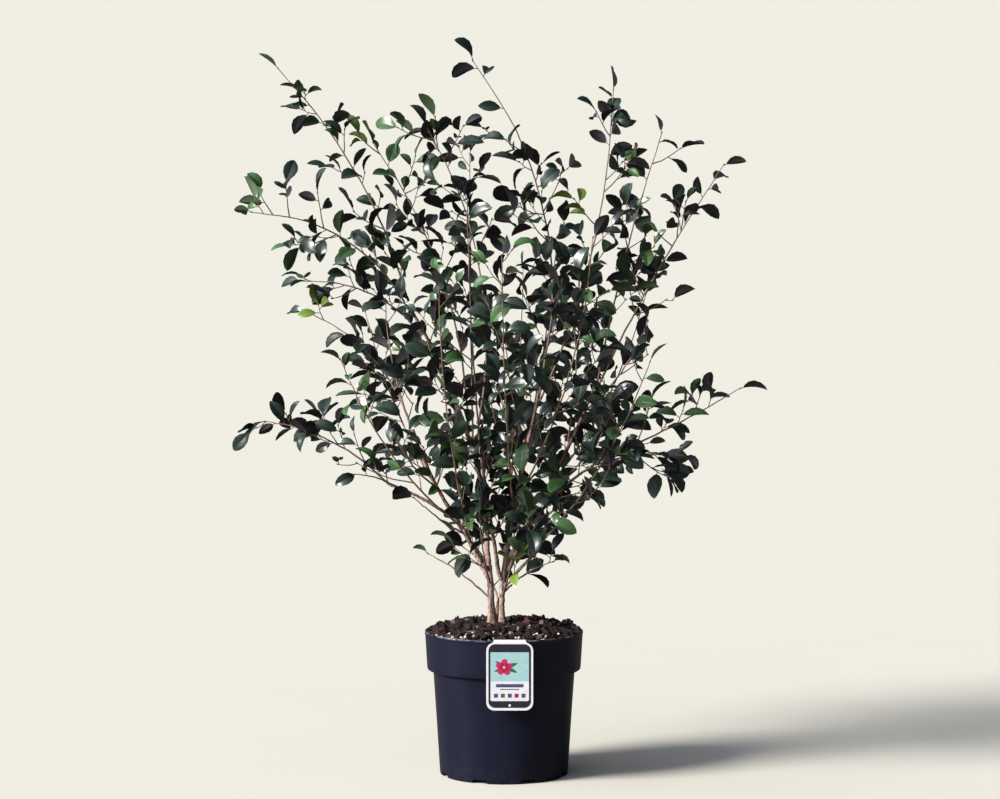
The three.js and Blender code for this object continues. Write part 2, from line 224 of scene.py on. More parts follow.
# A height from coarse cells and fine noise, for bump
def makeRelief():
    group, entry, outcome = newGroup(
        "relief", {"Scale": 200, "Stretch": (1, 1, 1), "Fine": 0.4}, {"Height": "Float"}
    )
    coarse = {"Vector": stretchedPlace(group, entry["Stretch"]), "Scale": entry["Scale"]}
    cells = addNode(group, "TexVoronoi", "Distance", coarse, feature="SMOOTH_F1")
    fine = {**coarse, "Scale": scaled(group, entry["Scale"], 3), "Detail": 5, "Roughness": 0.65}
    grain = scaled(group, addNode(group, "TexNoise", "Fac", fine), entry["Fine"])
    feed(outcome, {"Height": addNode(group, "Math", 0, {0: cells, 1: grain}, operation="ADD")})
    return group


# A mask that fades between two heights, broken up by noise, for dust and splashes, and for a
# painted highlight
def makeBand():
    group, entry, outcome = newGroup(
        "band", {"From": 0.0, "To": 0.05, "Scale": 60}, {"Mask": "Float"}
    )
    place = addNode(group, "TexCoord", "Object")
    height = addNode(group, "SeparateXYZ", "Z", {0: place})
    fade = ramp(group, height, (entry["From"], entry["To"]), (1, 0))
    grain = {"Vector": place, "Scale": entry["Scale"], "Detail": 6, "Roughness": 0.7}
    patches = ramp(group, addNode(group, "TexNoise", "Fac", grain), (0.45, 0.75))
    feed(outcome, {"Mask": scaled(group, fade, patches)})
    return group


mottle = makeMottle()
relief = makeRelief()
band = makeBand()


def newMaterial(name, **sockets):
    material = bpy.data.materials.new(name)
    material.use_nodes = True
    shader = material.node_tree.nodes["Principled BSDF"]
    feed(shader, {label.replace("_", " "): value for label, value in sockets.items()})
    return material, shader


def placeGroup(tree, group, **values):
    node = adjust(tree.nodes.new("ShaderNodeGroup"), node_tree=group)
    feed(node, values)
    return node.outputs


def addBump(shader, strength, distance, **values):
    height = placeGroup(shader.id_data, relief, **values)["Height"]
    inputs = {"Strength": strength, "Distance": distance, "Height": height}
    feed(shader, {"Normal": addNode(shader.id_data, "Bump", "Normal", inputs)})


# Colour from two mottled tones, and gloss that varies with the same mask
def addTones(shader, first, second, roughness, **values):
    tones = placeGroup(shader.id_data, mottle, First=first, Second=second, **values)
    gloss = ramp(shader.id_data, tones["Mask"], target=roughness)
    feed(shader, {"Base Color": tones["Color"], "Roughness": gloss})
    return tones


def toneMaterial(name, first, second, roughness, bump=None, tones=None, **sockets):
    material, shader = newMaterial(name, **sockets)
    addTones(shader, first, second, roughness, **(tones or {}))
    if bump:
        addBump(shader, **bump)
    return material


# Camera at the photograph's viewing angle, pale floor and soft light

studio = {
    "eye": (-0.0065, -4.7, 0.8833),
    "target": (-0.0065, 0, 0.6153),
    "lens": 103.65,
    "sensor": 36,
    "backdrop": (0.879, 0.855, 0.768),
    "sky": (0.74, 0.78, 0.92),
    "skyStrength": (0.1, 1.5),  # away from the lamp and towards it
    "skyEdge": 0.3,  # cosine of the angle from the lamp at which the brighter part starts
    "floorTone": (0.6227, 0.6147, 0.5482),
    "floorBounce": 0.35,  # share of its tone with which the floor lights the plant
    "floorSize": 80,
    "floorHeight": -0.0005,
    "keyStrength": 6.5,
    "keyColor": (1.0, 0.96, 0.9),
    "keyFrom": (-0.76, -0.41, 0.5),
    "keyAngle": 20,
}


def setCamera():
    eye = Vector(studio["eye"])
    turn = (Vector(studio["target"]) - eye).to_track_quat("-Z", "Y").to_euler()
    camera = startPiece(bpy.ops.object.camera_add, location=eye, rotation=turn)
    adjust(camera.data, lens=studio["lens"], sensor_width=studio["sensor"])
    bpy.context.scene.camera = camera


def setFloor():
    floor = startPiece(
        bpy.ops.mesh.primitive_plane_add, size=studio["floorSize"],
        location=(0, 0, studio["floorHeight"]),
    )
    floor.name = "floor"
    putPlaceInMesh(floor)
    material, shader = newMaterial("floor_paint", Roughness=1.0, Specular_IOR_Level=0)
    tree = material.node_tree
    tone = studio["floorTone"]
    tones = placeGroup(tree, mottle, Scale=3, First=tone, Second=[0.99 * c for c in tone])
    seen = addNode(tree, "LightPath", "Is Camera Ray")
    bounce = [studio["floorBounce"] * c for c in tone]
    feed(shader, {"Base Color": overlay(tree, seen, bounce, tones["Color"])})
    paint(floor, material)


# The camera sees a plain backdrop. Surfaces are lit by a sky that is bright on the lamp's side.
def setLight():
    world = bpy.data.worlds.new("studio")
    bpy.context.scene.world = world
    world.use_nodes = True
    tree = world.node_tree
    toLamp = Vector(studio["keyFrom"]).normalized()
    seen = addNode(tree, "LightPath", "Is Camera Ray")
    around = {0: addNode(tree, "TexCoord", "Generated"), 1: toLamp}
    facing = addNode(tree, "VectorMath", "Value", around, operation="DOT_PRODUCT")
    glow = ramp(tree, facing, (studio["skyEdge"], 1), studio["skyStrength"])
    strength = addNode(tree, "Mix", "Result", {"Factor": seen, "A": glow, "B": 1})
    tone = overlay(tree, seen, studio["sky"], studio["backdrop"])
    feed(tree.nodes["Background"], {"Color": tone, "Strength": strength})
    turn = toLamp.to_track_quat("Z", "Y").to_euler()
    key = startPiece(bpy.ops.object.light_add, type="SUN", rotation=turn).data
    adjust(key, energy=studio["keyStrength"], color=studio["keyColor"])
    key.angle = math.radians(studio["keyAngle"])
    bpy.context.scene.view_settings.view_transform = "Standard"


setCamera()
setFloor()
setLight()
print("studio set")


# Nursery pot: one wall turned from its base over the rim and down to its floor

pot = {
    # radius and height, from the underside out, up, over the rim and down inside
    "wall": [
        (100, 0), (103.6, 0.3), (104.8, 1.4), (105.2, 3.5), (106, 14), (111, 95), (116.1, 169.5),
        (116.5, 171.6), (118, 172.4), (124.4, 172.9), (125.7, 174), (126.1, 176.4), (127.6, 200),
        (129.3, 229), (129.6, 231.4), (130, 232.2), (130, 235), (129.5, 236), (128.5, 236),
        (128, 234.8), (127.6, 229), (124.2, 177.4), (123.4, 175.6), (115, 174.8), (103.2, 4.6),
        (101, 3.7),
    ],
    "sides": 96,
    "drains": 8,
    "drainRadius": 105.2,
    "drainSize": (24, 24, 12),
    "drainRound": 3,
}


def turnUp(profile, sides):
    radius, height = profile[0]
    body = startPiece(
        bpy.ops.mesh.primitive_circle_add, vertices=sides, radius=radius * mm,
        fill_type="NGON", location=(0, 0, height * mm),
    )
    putPlaceInMesh(body)
    editWhole()
    for (radius, height), (wider, higher) in zip(profile, profile[1:]):
        extrude(0, 0, (higher - height) * mm)
        growth = wider / radius
        bpy.ops.transform.resize(value=(growth, growth, 1), center_override=(0, 0, higher * mm))
    endEdit()
    tidyNormals(body)
    return body


def cutDrains(wall):
    cutters = []
    radius = pot["drainRadius"] * mm
    for i in range(pot["drains"]):
        turn = 2 * math.pi * (i + 0.5) / pot["drains"]
        cutters.append(startPiece(
            bpy.ops.mesh.primitive_cube_add, size=1, rotation=(0, 0, turn),
            location=(radius * math.cos(turn), radius * math.sin(turn), 0),
            scale=[side * mm for side in pot["drainSize"]],
        ))
        putPlaceInMesh(cutters[-1])
        editWhole()
        bpy.ops.mesh.bevel(offset=pot["drainRound"] * mm, segments=3)
        endEdit()
    cutter = joinAll(cutters)
    modify(wall, "BOOLEAN", operation="DIFFERENCE", object=cutter)
    bpy.data.objects.remove(cutter)


def potMaterial():
    material, shader = newMaterial("pot_plastic", Specular_IOR_Level=0.2)
    tree = material.node_tree
    tones = addTones(
        shader, (0.0051, 0.0062, 0.0165), (0.0071, 0.0083, 0.023), (0.4, 0.5),
        Scale=18, Stretch=(1, 1, 0.25), Detail=5,
    )
    dust = scaled(tree, placeGroup(tree, band, From=0.0, To=0.05, Scale=70)["Mask"], 0.08)
    dusty = overlay(tree, dust, tones["Color"], (0.16, 0.13, 0.11))
    # Painted highlight: a pale band along the top of the rim.
    rimHighlight = placeGroup(tree, band, From=0.2361, To=0.2328, Scale=30)["Mask"]
    feed(shader, {"Base Color": overlay(tree, rimHighlight, dusty, (0.6, 0.57, 0.63))})
    addBump(shader, 0.25, 0.0002, Scale=500, Stretch=(1, 1, 0.4), Fine=0.5)
    return material


def makePot():
    wall = turnUp(pot["wall"], pot["sides"])
    cutDrains(wall)
    shadeByAngle(wall, 28)
    paint(wall, potMaterial())
    finishPiece(wall, "pot_shell", "pot_plastic", "pot")


makePot()


# Compost: a lumpy bed, covered by bark chips, crumbs and white grit

compost = {
    # radius and height of the bed, from its floor up and in to its crest
    "bed": [
        (99, 4.6), (102, 5), (113.8, 175.6), (122.6, 178.4), (127, 225), (124, 227.5), (116, 230.5),
        (104, 234), (90, 237.5), (74, 240), (58, 241), (44, 240.5), (30, 239), (16, 238),
    ],
    "sides": 96,
    "surface": 226.5,  # height above which the bed is lumpy
    "lumps": (0.014, 0.009),  # size and height, in metres
    # count, length, width and depth as shares of it, lift, tilt, reach, and the share of each tone
    "litter": {
        "bark_chips": (
            1300, (6, 19), (0.35, 0.8), (0.2, 0.45), 0.4, 42, 126.5, (0.56, 0.3, 0.08, 0.06),
        ),
        "crumbs": (2600, (1.6, 4.5), (0.5, 1), (0.4, 0.9), 0.6, 60, 125.5, (0.5, 0.34, 0.12, 0.04)),
        "grit": (430, (1.5, 3.6), (0.6, 1), (0.6, 1), 2.3, 60, 125.5, (1,)),
    },
    # places round which more grit lies: X, Y and how far it spreads
    "gritHeaps": ((-36, -102, 9), (54, -98, 10), (-92, -66, 9), (26, -40, 12), (-62, -90, 8)),
    "gritPerHeap": 46,
    "jitter": 0.16,  # of a chip's corners, as a share of its size
    "inset": 0.42,  # least way from a chip's middle to the rim, as a share of its length
    "liftRange": (0.2, 1),
    "seed": 41,
}
cube = np.array([(x, y, z) for z in (-0.5, 0.5) for y in (-0.5, 0.5) for x in (-0.5, 0.5)])
cubeFaces = np.array(
    [(0, 2, 3, 1), (4, 5, 7, 6), (0, 1, 5, 4), (2, 6, 7, 3), (0, 4, 6, 2), (1, 3, 7, 5)]
)


# The height of the bed's open part, which starts with its fifth ring
def bedHeight(radius):
    return np.interp(radius, *zip(*sorted(compost["bed"][4:])))


def makeBed():
    bed = turnUp(compost["bed"], compost["sides"])
    surface = bed.vertex_groups.new(name="surface")
    above = [v.index for v in bed.data.vertices if v.co.z > compost["surface"] * mm]
    surface.add(above, 1, "REPLACE")
    press(bed, "lumps", "CLOUDS", *compost["lumps"], vertex_group="surface")
    shadeByAngle(bed, 50)
    paint(bed, toneMaterial(
        "compost", (0.006, 0.004, 0.004), (0.02, 0.012, 0.011), (0.9, 1.0),
        bump={"strength": 0.9, "distance": 0.002, "Scale": 350}, tones={"Scale": 160, "Detail": 6},
    ))
    finishPiece(bed, "compost_bed", "soil", "soil")


def turnMatrices(tilt, turn, roll):
    upright = (0, 0, 1)
    return np.array([
        (Quaternion(upright, b) @ Quaternion((1, 0, 0), a) @ Quaternion(upright, c)).to_matrix()
        for a, b, c in zip(tilt, turn, roll)
    ])


# Joins many jittered cubes, each with its own size, turn, place and material.
def strew(name, row, materials, heaps, random):
    count, lengths, widths, depths, lift, tilt, reach, weights = row
    radius = reach * np.sqrt(random.uniform(0, 1, count))
    around = random.uniform(0, 2 * math.pi, count)
    many = compost["gritPerHeap"]
    for i, (x, y, spread) in enumerate(heaps):
        across, back = random.normal((x, y), spread, (many, 2)).T
        radius[i * many:(i + 1) * many] = np.hypot(across, back)
        around[i * many:(i + 1) * many] = np.arctan2(back, across)
    length = random.uniform(*lengths, count)
    sizes = [length, *(length * random.uniform(*share, count) for share in (widths, depths))]
    turns = turnMatrices(
        random.normal(0, math.radians(tilt), count),
        *(random.uniform(0, 2 * math.pi, count) for axis in range(2)),
    )
    radius = np.minimum(radius, reach - compost["inset"] * length)
    height = bedHeight(radius) + lift * length * random.uniform(*compost["liftRange"], count)
    places = np.stack([radius * np.cos(around), radius * np.sin(around), height], 1)
    kinds = random.choice(len(materials), count, p=weights)
    points = cube + random.uniform(-compost["jitter"], compost["jitter"], (count, *cube.shape))
    points = np.einsum("nij,nkj->nki", turns, points * np.stack(sizes, 1)[:, None])
    faces = cubeFaces + np.arange(count)[:, None, None] * len(cube)
    points = points + places[:, None]
    piece = meshFromArrays(name, points.reshape(-1, 3), faces.reshape(-1, 4).tolist())
    paint(piece, *materials, kinds=np.repeat(kinds, len(cubeFaces)))
    finishPiece(piece, name, "soil")


def makeCompost():
    makeBed()
    chips = [
        toneMaterial(
            "chip_" + name, first, second, (0.8, 0.95), Specular_IOR_Level=0.3,
            bump={"strength": 0.6, "distance": 0.0006, "Scale": 700},
            tones={"Scale": 260, "Detail": 5},
        )
        for name, first, second in (
            ("dark", (0.006, 0.0033, 0.004), (0.018, 0.0095, 0.0105)),
            ("brown", (0.011, 0.0055, 0.0057), (0.036, 0.018, 0.018)),
            ("red", (0.028, 0.012, 0.011), (0.085, 0.042, 0.037)),
            ("grey", (0.075, 0.053, 0.056), (0.26, 0.19, 0.195)),
        )
    ]
    white = toneMaterial(
        "grit_white", (0.55, 0.52, 0.48), (0.8, 0.78, 0.75), (0.6, 0.8), tones={"Scale": 500}
    )
    random = np.random.default_rng(compost["seed"])
    for name, row in compost["litter"].items():
        isGrit = name == "grit"
        heaps = compost["gritHeaps"] if isGrit else ()
        strew(name, row, [white] if isGrit else chips, heaps, random)


makeCompost()


# Label: a white card on a strap over the rim, with a dark panel and a plain picture of a flower

label = {
    "middle": (9, 180.3),  # of the panel
    "back": -131.6,  # the card's back, just before the pot's rim
    "tones": {
        "card_white": (0.8, 0.79, 0.82),
        "print_dark": (0.014, 0.013, 0.03),
        "print_pale": (0.76, 0.76, 0.8),
        "print_mist": (0.36, 0.6, 0.6),
        "print_pink": (0.62, 0.012, 0.13),
        "print_deep_pink": (0.36, 0.006, 0.07),
        "print_gold": (0.75, 0.45, 0.06),
        "print_green": (0.035, 0.13, 0.06),
        "print_slate": (0.06, 0.07, 0.16),
    },
    # size, corner, middle, distance from the card's back, depth, tone and steps of the corner
    "plates": [
        ((75, 109), 13, (0, -1), 0, 1.2, "card_white", 9),
        ((68, 102.5), 10.5, (0, 0), 1.1, 0.22, "print_dark", 7),
        ((61.5, 78.5), 2.5, (0, -1), 1.25, 0.19, "print_pale", 4),
        ((61.5, 46.5), 0.5, (0, 15), 1.38, 0.16, "print_mist", 2),
        ((4, 4), 1.9, (0, -47.2), 1.25, 0.17, "print_pale", 4),
        ((44, 5.2), 0.8, (0, -15.5), 1.38, 0.16, "print_slate", 2),
        ((30, 1.4), 0, (0, -21.5), 1.38, 0.16, "print_slate", 4),
    ],
    "squares": ("slate", "green", "slate", "deep_pink", "slate"),
    # middle of the first square, their step, size and corner, distance from the back and depth
    "squareRow": (-22, -31.5, 11, 6.5, 1, 1.38, 0.16),
    "flower": (-9, 14),
    "petals": 5,
    "rings": (((13.5, 12.5), "print_pink"), ((8.5, 8), "print_deep_pink")),
    "leafSize": (20, 9),
    "leafTurns": (200, 335, 20, 150),
    "leafAway": 3,  # how far the leaves start from the flower's middle
    "eyeSize": 4.4,
    "skins": (1.48, 1.58, 1.78),  # of leaves, petals and eye, from the card's back
    "depths": (0.14, 0.12, 0.14),  # of leaves, petals and eye
    "overlap": (0.01, 0.012, 0.1),  # between leaves, between petals and between their rings
    # width, depth inside the rim, length of the leg, thickness, and heights of root and crown
    "strap": (58, 5.6, 6, 1.2, 231.5, 236.2),
    "strapNarrowing": 0.88,
    "strapOverlap": 0.15,  # how far the strap's foot goes into the card
    "rimInside": -128.2,
}


# Turns a flat shape with its face towards +Z into the card's plane, skin in front of its back.
def standUp(shape, middle, skin, material):
    x, z = label["middle"]
    shape.rotation_euler = (math.radians(90), 0, 0)
    shape.location = ((x + middle[0]) * mm, (label["back"] - skin) * mm, (z + middle[1]) * mm)
    putPlaceInMesh(shape)
    paint(shape, material)
    return shape


def addPlate(size, corner, middle, skin, depth, material, segments):
    plate = startPiece(bpy.ops.mesh.primitive_plane_add, size=1, location=(0, 0, 0))
    plate.scale = (size[0] * mm, size[1] * mm, 1)
    putPlaceInMesh(plate)
    editWhole()
    if corner:
        bpy.ops.mesh.bevel(offset=corner * mm, segments=segments, affect="VERTICES")
    bpy.ops.mesh.select_all(action="SELECT")
    extrude(0, 0, depth * mm)
    endEdit()
    return standUp(plate, middle, skin, material)


def addDisc(sides, **settings):
    circle = bpy.ops.mesh.primitive_circle_add
    return startPiece(circle, vertices=sides, fill_type="NGON", location=(0, 0, 0), **settings)


# A petal or leaf of the picture: a disc drawn out to one side, with a narrow root
def addDrop(size, turn, middle, skin, depth, material, waist=0.5, point=0.0):
    drop = addDisc(20, radius=0.5)
    for vertex in drop.data.vertices:
        share = vertex.co.x + 0.5
        vertex.co.x = share
        vertex.co.y *= blend(1 - waist, 1, share) * (1 - point * share ** 2)
    editWhole()
    extrude(0, 0, depth * mm)
    endEdit()
    adjust(drop, scale=(size[0] * mm, size[1] * mm, 1), rotation_euler=(0, 0, turn))
    putPlaceInMesh(drop)
    return standUp(drop, middle, skin, material)


def addStrap(material):
    width, inset, leg, thick, root, crown = label["strap"]
    front = label["back"] - thick + label["strapOverlap"]
    inside = label["rimInside"] + inset
    outline = [
        (front, root), (front, crown), (front + 0.4, crown + 0.8), (front + 1.2, crown + thick),
        (inside + 0.2, crown + thick), (inside + thick, crown + 0.4), (inside + thick, crown - leg),
        (inside, crown - leg), (inside, crown), (front + thick, crown), (front + thick, root),
    ]
    strap = addDisc(len(outline))
    middle = label["middle"][0]
    for vertex, (y, z) in zip(strap.data.vertices, outline):
        vertex.co = ((middle - width / 2) * mm, y * mm, z * mm)
    editWhole()
    extrude(width * mm, 0, 0)
    endEdit()
    for vertex in strap.data.vertices:
        if vertex.co.z > root * mm + 0.001:
            vertex.co.x = blend(middle * mm, vertex.co.x, label["strapNarrowing"])
    paint(strap, material)
    return strap


def printMaterial(name, tone):
    return toneMaterial(
        name, [0.9 * c for c in tone], tone, (0.32, 0.38),
        bump={"strength": 0.12, "distance": 0.0001, "Scale": 900},
        tones={"Scale": 120, "Detail": 3}, Coat_Weight=0.25, Coat_Roughness=0.18,
    )


def makeLabel():
    tones = {name: printMaterial(name, tone) for name, tone in label["tones"].items()}
    pieces = [addPlate(*row, tones[tone], steps) for *row, tone, steps in label["plates"]]
    pieces.append(addStrap(tones["card_white"]))
    x, z, step, side, corner, skin, depth = label["squareRow"]
    for i, tone in enumerate(label["squares"]):
        row = ((side, side), corner, (x + step * i, z), skin, depth)
        pieces.append(addPlate(*row, tones["print_" + tone], 2))
    x, z = label["flower"]
    leafSkin, petalSkin, eyeSkin = label["skins"]
    leafDepth, petalDepth, eyeDepth = label["depths"]
    leafStep, petalStep, ringStep = label["overlap"]
    root = (x + label["leafAway"], z)
    for i, degrees in enumerate(label["leafTurns"]):
        pieces.append(addDrop(
            label["leafSize"], math.radians(degrees), root, leafSkin + leafStep * i, leafDepth,
            tones["print_green"], waist=0.3, point=0.8,
        ))
    for ring, (size, tone) in enumerate(label["rings"]):
        for i in range(label["petals"]):
            turn = 2 * math.pi * (i + 0.5 * ring + 0.2) / label["petals"]
            skin = petalSkin + ringStep * ring + petalStep * i
            pieces.append(addDrop(size, turn, (x, z), skin, petalDepth, tones[tone]))
    eye = label["eyeSize"]
    middle = (x - eye / 2, z)
    pieces.append(addDrop((eye, eye), 0, middle, eyeSkin, eyeDepth, tones["print_gold"], waist=0))
    for piece in pieces:
        tidyNormals(piece)
    card = joinAll(pieces)
    shadeByAngle(card, 35)
    finishPiece(card, "plant_label", "label_card", "label")


makeLabel()


# The plant's own tables. A heading turns from the viewer's right towards the back, and a lean is
# measured from the vertical, at a limb's foot and at its tip.

stems = {  # foot, heading, lean, reach, radius
    "stem_left": ((-20, -3), 185, (1, 6), 115, (5.8, 4.9)),
    "stem_right": ((-3, -5), 0, (-1, 5), 88, (4.7, 4.4)),
    "stem_back": ((-11, 13), 20, (6, 16), 104, (4.9, 4.3)),
}
boughs = {  # carrier, share along it, heading, lean, reach, radius
    "left": ("stem_left", 1, 184, (2, 20), 232, (4.6, 3.8)),
    "left_high": ("left", 1, 182, (20, 30), 190, (3.7, 2.6)),
    "left_low": ("stem_left", 0.93, 192, (36, 22), 240, (3.8, 2.6)),
    "left_side": ("left_low", 0.38, 176, (56, 70), 110, (2.9, 2.2)),
    "centre": ("stem_right", 1, 10, (10, 13), 300, (4.2, 2.9)),
    "centre_left": ("stem_right", 0.9, 222, (12, 10), 240, (3.7, 2.6)),
    "front": ("centre", 0.2, 275, (46, 40), 75, (3.1, 2.6)),
    "front_left": ("stem_left", 0.8, 236, (46, 40), 95, (3.2, 2.6)),
    "front_right": ("stem_right", 0.72, 322, (44, 50), 90, (3, 2.5)),
    "right": ("stem_back", 1, 4, (30, 23), 330, (4, 2.7)),
    "right_low": ("stem_back", 0.88, 352, (24, 58), 250, (3.3, 2.2)),
    "back": ("stem_back", 0.7, 84, (40, 30), 120, (3.4, 2.6)),
    "back_left": ("stem_left", 0.66, 128, (44, 38), 110, (3.2, 2.5)),
    "back_right": ("right", 0.12, 56, (48, 40), 90, (3, 2.5)),
}
masses = {  # carrier, share along it, heading, lean, reach, spread
    "top_left": ("left_high", 1, 180, (18, 40), 458, 60),
    "left": ("left_high", 0.96, 192, (34, 82), 330, 80),
    "left_upper": ("left_high", 0.8, 172, (48, 88), 225, 70),
    "left_mid": ("left_low", 1, 174, (22, 62), 275, 90),
    "left_inner": ("left_low", 0.95, 206, (22, 2), 270, 100),
    "left_front": ("left_low", 0.6, 232, (60, 34), 150, 90),
    "left_side": ("left_side", 1, 182, (48, 80), 248, 90),
    "left_under": ("left_side", 0.9, 212, (64, 82), 80, 70),
    "crown_left": ("left", 0.9, 172, (6, 32), 505, 100),
    "crown_back": ("left", 0.78, 92, (28, 12), 520, 110),
    "top": ("centre", 1, 183, (-8, 32), 575, 90),
    "top_right": ("centre", 0.95, 352, (22, 4), 530, 90),
    "crown_middle": ("centre_left", 1, 184, (-6, 26), 525, 90),
    "crown_front": ("centre_left", 0.95, 262, (28, 10), 420, 110),
    "heart": ("centre", 0.5, 120, (46, 20), 200, 100),
    "heart_front": ("centre", 0.7, 250, (46, 16), 200, 100),
    "heart_right": ("right", 0.42, 318, (60, 30), 190, 100),
    "front": ("front", 1, 266, (50, 16), 500, 110),
    "front_upper": ("front", 0.9, 325, (30, 8), 470, 110),
    "front_left": ("front_left", 1, 222, (54, 30), 390, 110),
    "front_left_upper": ("front_left", 0.9, 254, (36, 6), 470, 100),
    "front_low": ("front_right", 1, 282, (52, 68), 150, 90),
    "front_right": ("front_right", 0.9, 322, (46, 26), 400, 100),
    "right_upper": ("right", 1, 14, (12, 18), 425, 90),
    "right": ("right", 0.95, 358, (26, 33), 430, 80),
    "right_mid": ("right", 0.85, 340, (46, 24), 180, 80),
    "right_inner": ("right", 0.66, 60, (14, 2), 300, 100),
    "right_side": ("right_low", 1, 4, (66, 60), 248, 70),
    "right_under": ("right_low", 0.93, 330, (74, 92), 160, 80),
    "right_low": ("right_low", 0.5, 320, (62, 84), 85, 70),
    "back": ("back", 1, 84, (50, 16), 510, 110),
    "back_upper": ("back", 0.9, 48, (20, 10), 470, 110),
    "back_left": ("back_left", 1, 128, (50, 26), 450, 110),
    "back_right": ("back_right", 1, 44, (50, 24), 430, 110),
    "foot_left": ("stem_left", 0.4, 176, (48, 62), 120, 40),
    "foot_right": ("stem_back", 0.5, 350, (46, 70), 95, 60),
    "low_front": ("stem_left", 0.6, 262, (58, 26), 175, 95),
    "low_front_right": ("stem_right", 0.56, 284, (46, 30), 175, 95),
    "low_left": ("left_low", 0.24, 218, (62, 52), 115, 80),
    "low_back": ("stem_back", 0.34, 104, (58, 34), 175, 95),
}

# Twigs that stand out of the rest: the share along the shoot, heading, lean and length
loneTwigs = {
    "top_left": [(0.3, 182, 60, 56), (0.36, 200, 44, 50)],
    "left": [
        (0.8, 178, 6, 56), (0.88, 176, 30, 44), (0.72, 190, 100, 40), (0.12, 20, 5, 62),
        (0.62, 175, 10, 58), (0.3, 168, 8, 56),
    ],
    "left_upper": [(0.5, 150, 30, 60)],
    "left_mid": [(0.2, 190, 80, 60)],
    "crown_left": [
        (0.86, 190, 62, 48), (0.8, 20, 20, 60), (0.56, 200, 70, 56), (0.94, 200, 50, 46),
        (0.9, 160, 80, 44), (0.88, 350, 50, 50), (0.79, 340, 58, 46), (0.5, 0, 28, 58),
    ],
    "crown_middle": [
        (0.93, 186, 72, 60), (0.86, 2, 30, 62), (0.9, 120, 10, 50), (0.96, 10, 76, 50),
        (0.53, 188, 56, 52),
    ],
    "top": [(0.5, 190, 70, 54), (0.58, 345, 60, 58), (0.66, 200, 50, 50), (0.42, 320, 60, 60)],
    "top_right": [(0.9, 10, 44, 50), (0.84, 190, 30, 45), (0.56, 188, 40, 60), (0.3, 350, 60, 60)],
    "right_upper": [
        (0.86, 0, 62, 52), (0.72, 186, 40, 62), (0.76, 330, 55, 60), (0.45, 340, 60, 60),
        (0.2, 200, 50, 60), (0.32, 352, 44, 56), (0.1, 205, 60, 50),
    ],
    "right": [
        (0.94, 170, 20, 40), (0.4, 186, 24, 62), (0.68, 20, 10, 50), (0.62, 190, 44, 52),
        (0.33, 165, 12, 58),
    ],
    "heart_right": [(0.2, 250, 70, 60), (0.5, 80, 60, 56)],
    "front_right": [(0.4, 200, 70, 50), (0.5, 350, 70, 50)],
    "front_upper": [(0.2, 300, 70, 50), (0.3, 190, 70, 50)],
}

plant = {
    "crest": 248.3,  # height at which the stems stand on the compost
    "gap": 0.3,
    "shootRadius": 2,
    "firstSeed": 7,
    "seedStep": 31,
}


def direction(heading, lean):
    turned = math.radians(heading)
    tilted = math.radians(lean)
    flat = math.sin(tilted)
    return Vector((math.cos(turned) * flat, math.sin(turned) * flat, math.cos(tilted)))


# A centre line in equal straight steps, whose lean goes from the first value to the second
def leaningPath(start, heading, lean, reach, steps):
    points = [start]
    for i in range(steps):
        tilt = blend(*lean, i / (steps - 1))
        points.append(points[-1] + direction(heading, tilt) * (reach / steps))
    return points


def pointAt(points, share):
    place = min(max(share, 0), 1) * (len(points) - 1)
    step = min(int(place), len(points) - 2)
    return points[step].lerp(points[step + 1], place - step)


def tangentAt(points, share):
    return (pointAt(points, share + 0.0001) - pointAt(points, share - 0.0001)).normalized()


# Where a limb leaves the one that carries it, on from its tip or beside it
def startOn(carrier, at, heading, lean, radius):
    point = pointAt(carrier["points"], at)
    tangent = tangentAt(carrier["points"], at)
    away = direction(heading, lean[0])
    thick = blend(*carrier["radius"], at)
    if at == 1:
        return point + tangent * (max(thick, radius) * math.sin(tangent.angle(away)) + plant["gap"])
    outward = (away - tangent * away.dot(tangent)).normalized()
    return point + outward * (thick + radius * math.sin(outward.angle(away)) + plant["gap"])


def grownOn(carrier, at, heading, lean, reach, radius, steps):
    start = startOn(carrier, at, heading, lean, radius)
    return {"points": leaningPath(start, heading, lean, reach, steps), "on": carrier, "at": at}


def layOutLimbs():
    limbs = {}
    for name, (foot, *row, radius) in stems.items():
        limbs[name] = {"points": leaningPath(Vector((*foot, plant["crest"])), *row, 6)}
        limbs[name]["radius"] = radius
    for name, (on, *row, radius) in boughs.items():
        limbs[name] = {**grownOn(limbs[on], *row, radius[0], 5), "radius": radius}
    return limbs


def layOutShoots(limbs):
    shoots = {}
    for order, (name, (on, *row, spread)) in enumerate(masses.items()):
        seed = plant["firstSeed"] + plant["seedStep"] * order
        own = {"reach": row[-1], "spread": spread, "order": order, "seed": seed}
        shoots[name] = {**grownOn(limbs[on], *row, plant["shootRadius"], 4), **own}
    return shoots


limbs = layOutLimbs()
shoots = layOutShoots(limbs)
print("plant laid out:", len(limbs), "limbs and", len(shoots), "shoots")


# A rounded line through the corners of a centre line
def rounded(points, perStep=5):
    padded = [2 * points[0] - points[1], *points, 2 * points[-1] - points[-2]]
    line = []
    for a, b, c, d in zip(padded, padded[1:], padded[2:], padded[3:]):
        for t in (i / perStep for i in range(perStep)):
            curve = 2 * a - 5 * b + 4 * c - d + t * (3 * b - a - 3 * c + d)
            line.append(b + 0.5 * t * ((c - a) + t * curve))
    return [*line, points[-1]]


# The point on a carrier a little before a fork, from which a branch grows out of its middle
def innerRoot(branch, back):
    points = branch["on"]["points"]
    length = (points[1] - points[0]).length * (len(points) - 1)
    return pointAt(points, branch["at"] - back / length)


# A small step to any side
def wander(random, reach):
    return Vector(random.uniform(-1, 1, 3)) * reach


# Stems and boughs: bevelled curves, fused at their forks, with the bark's relief pressed in

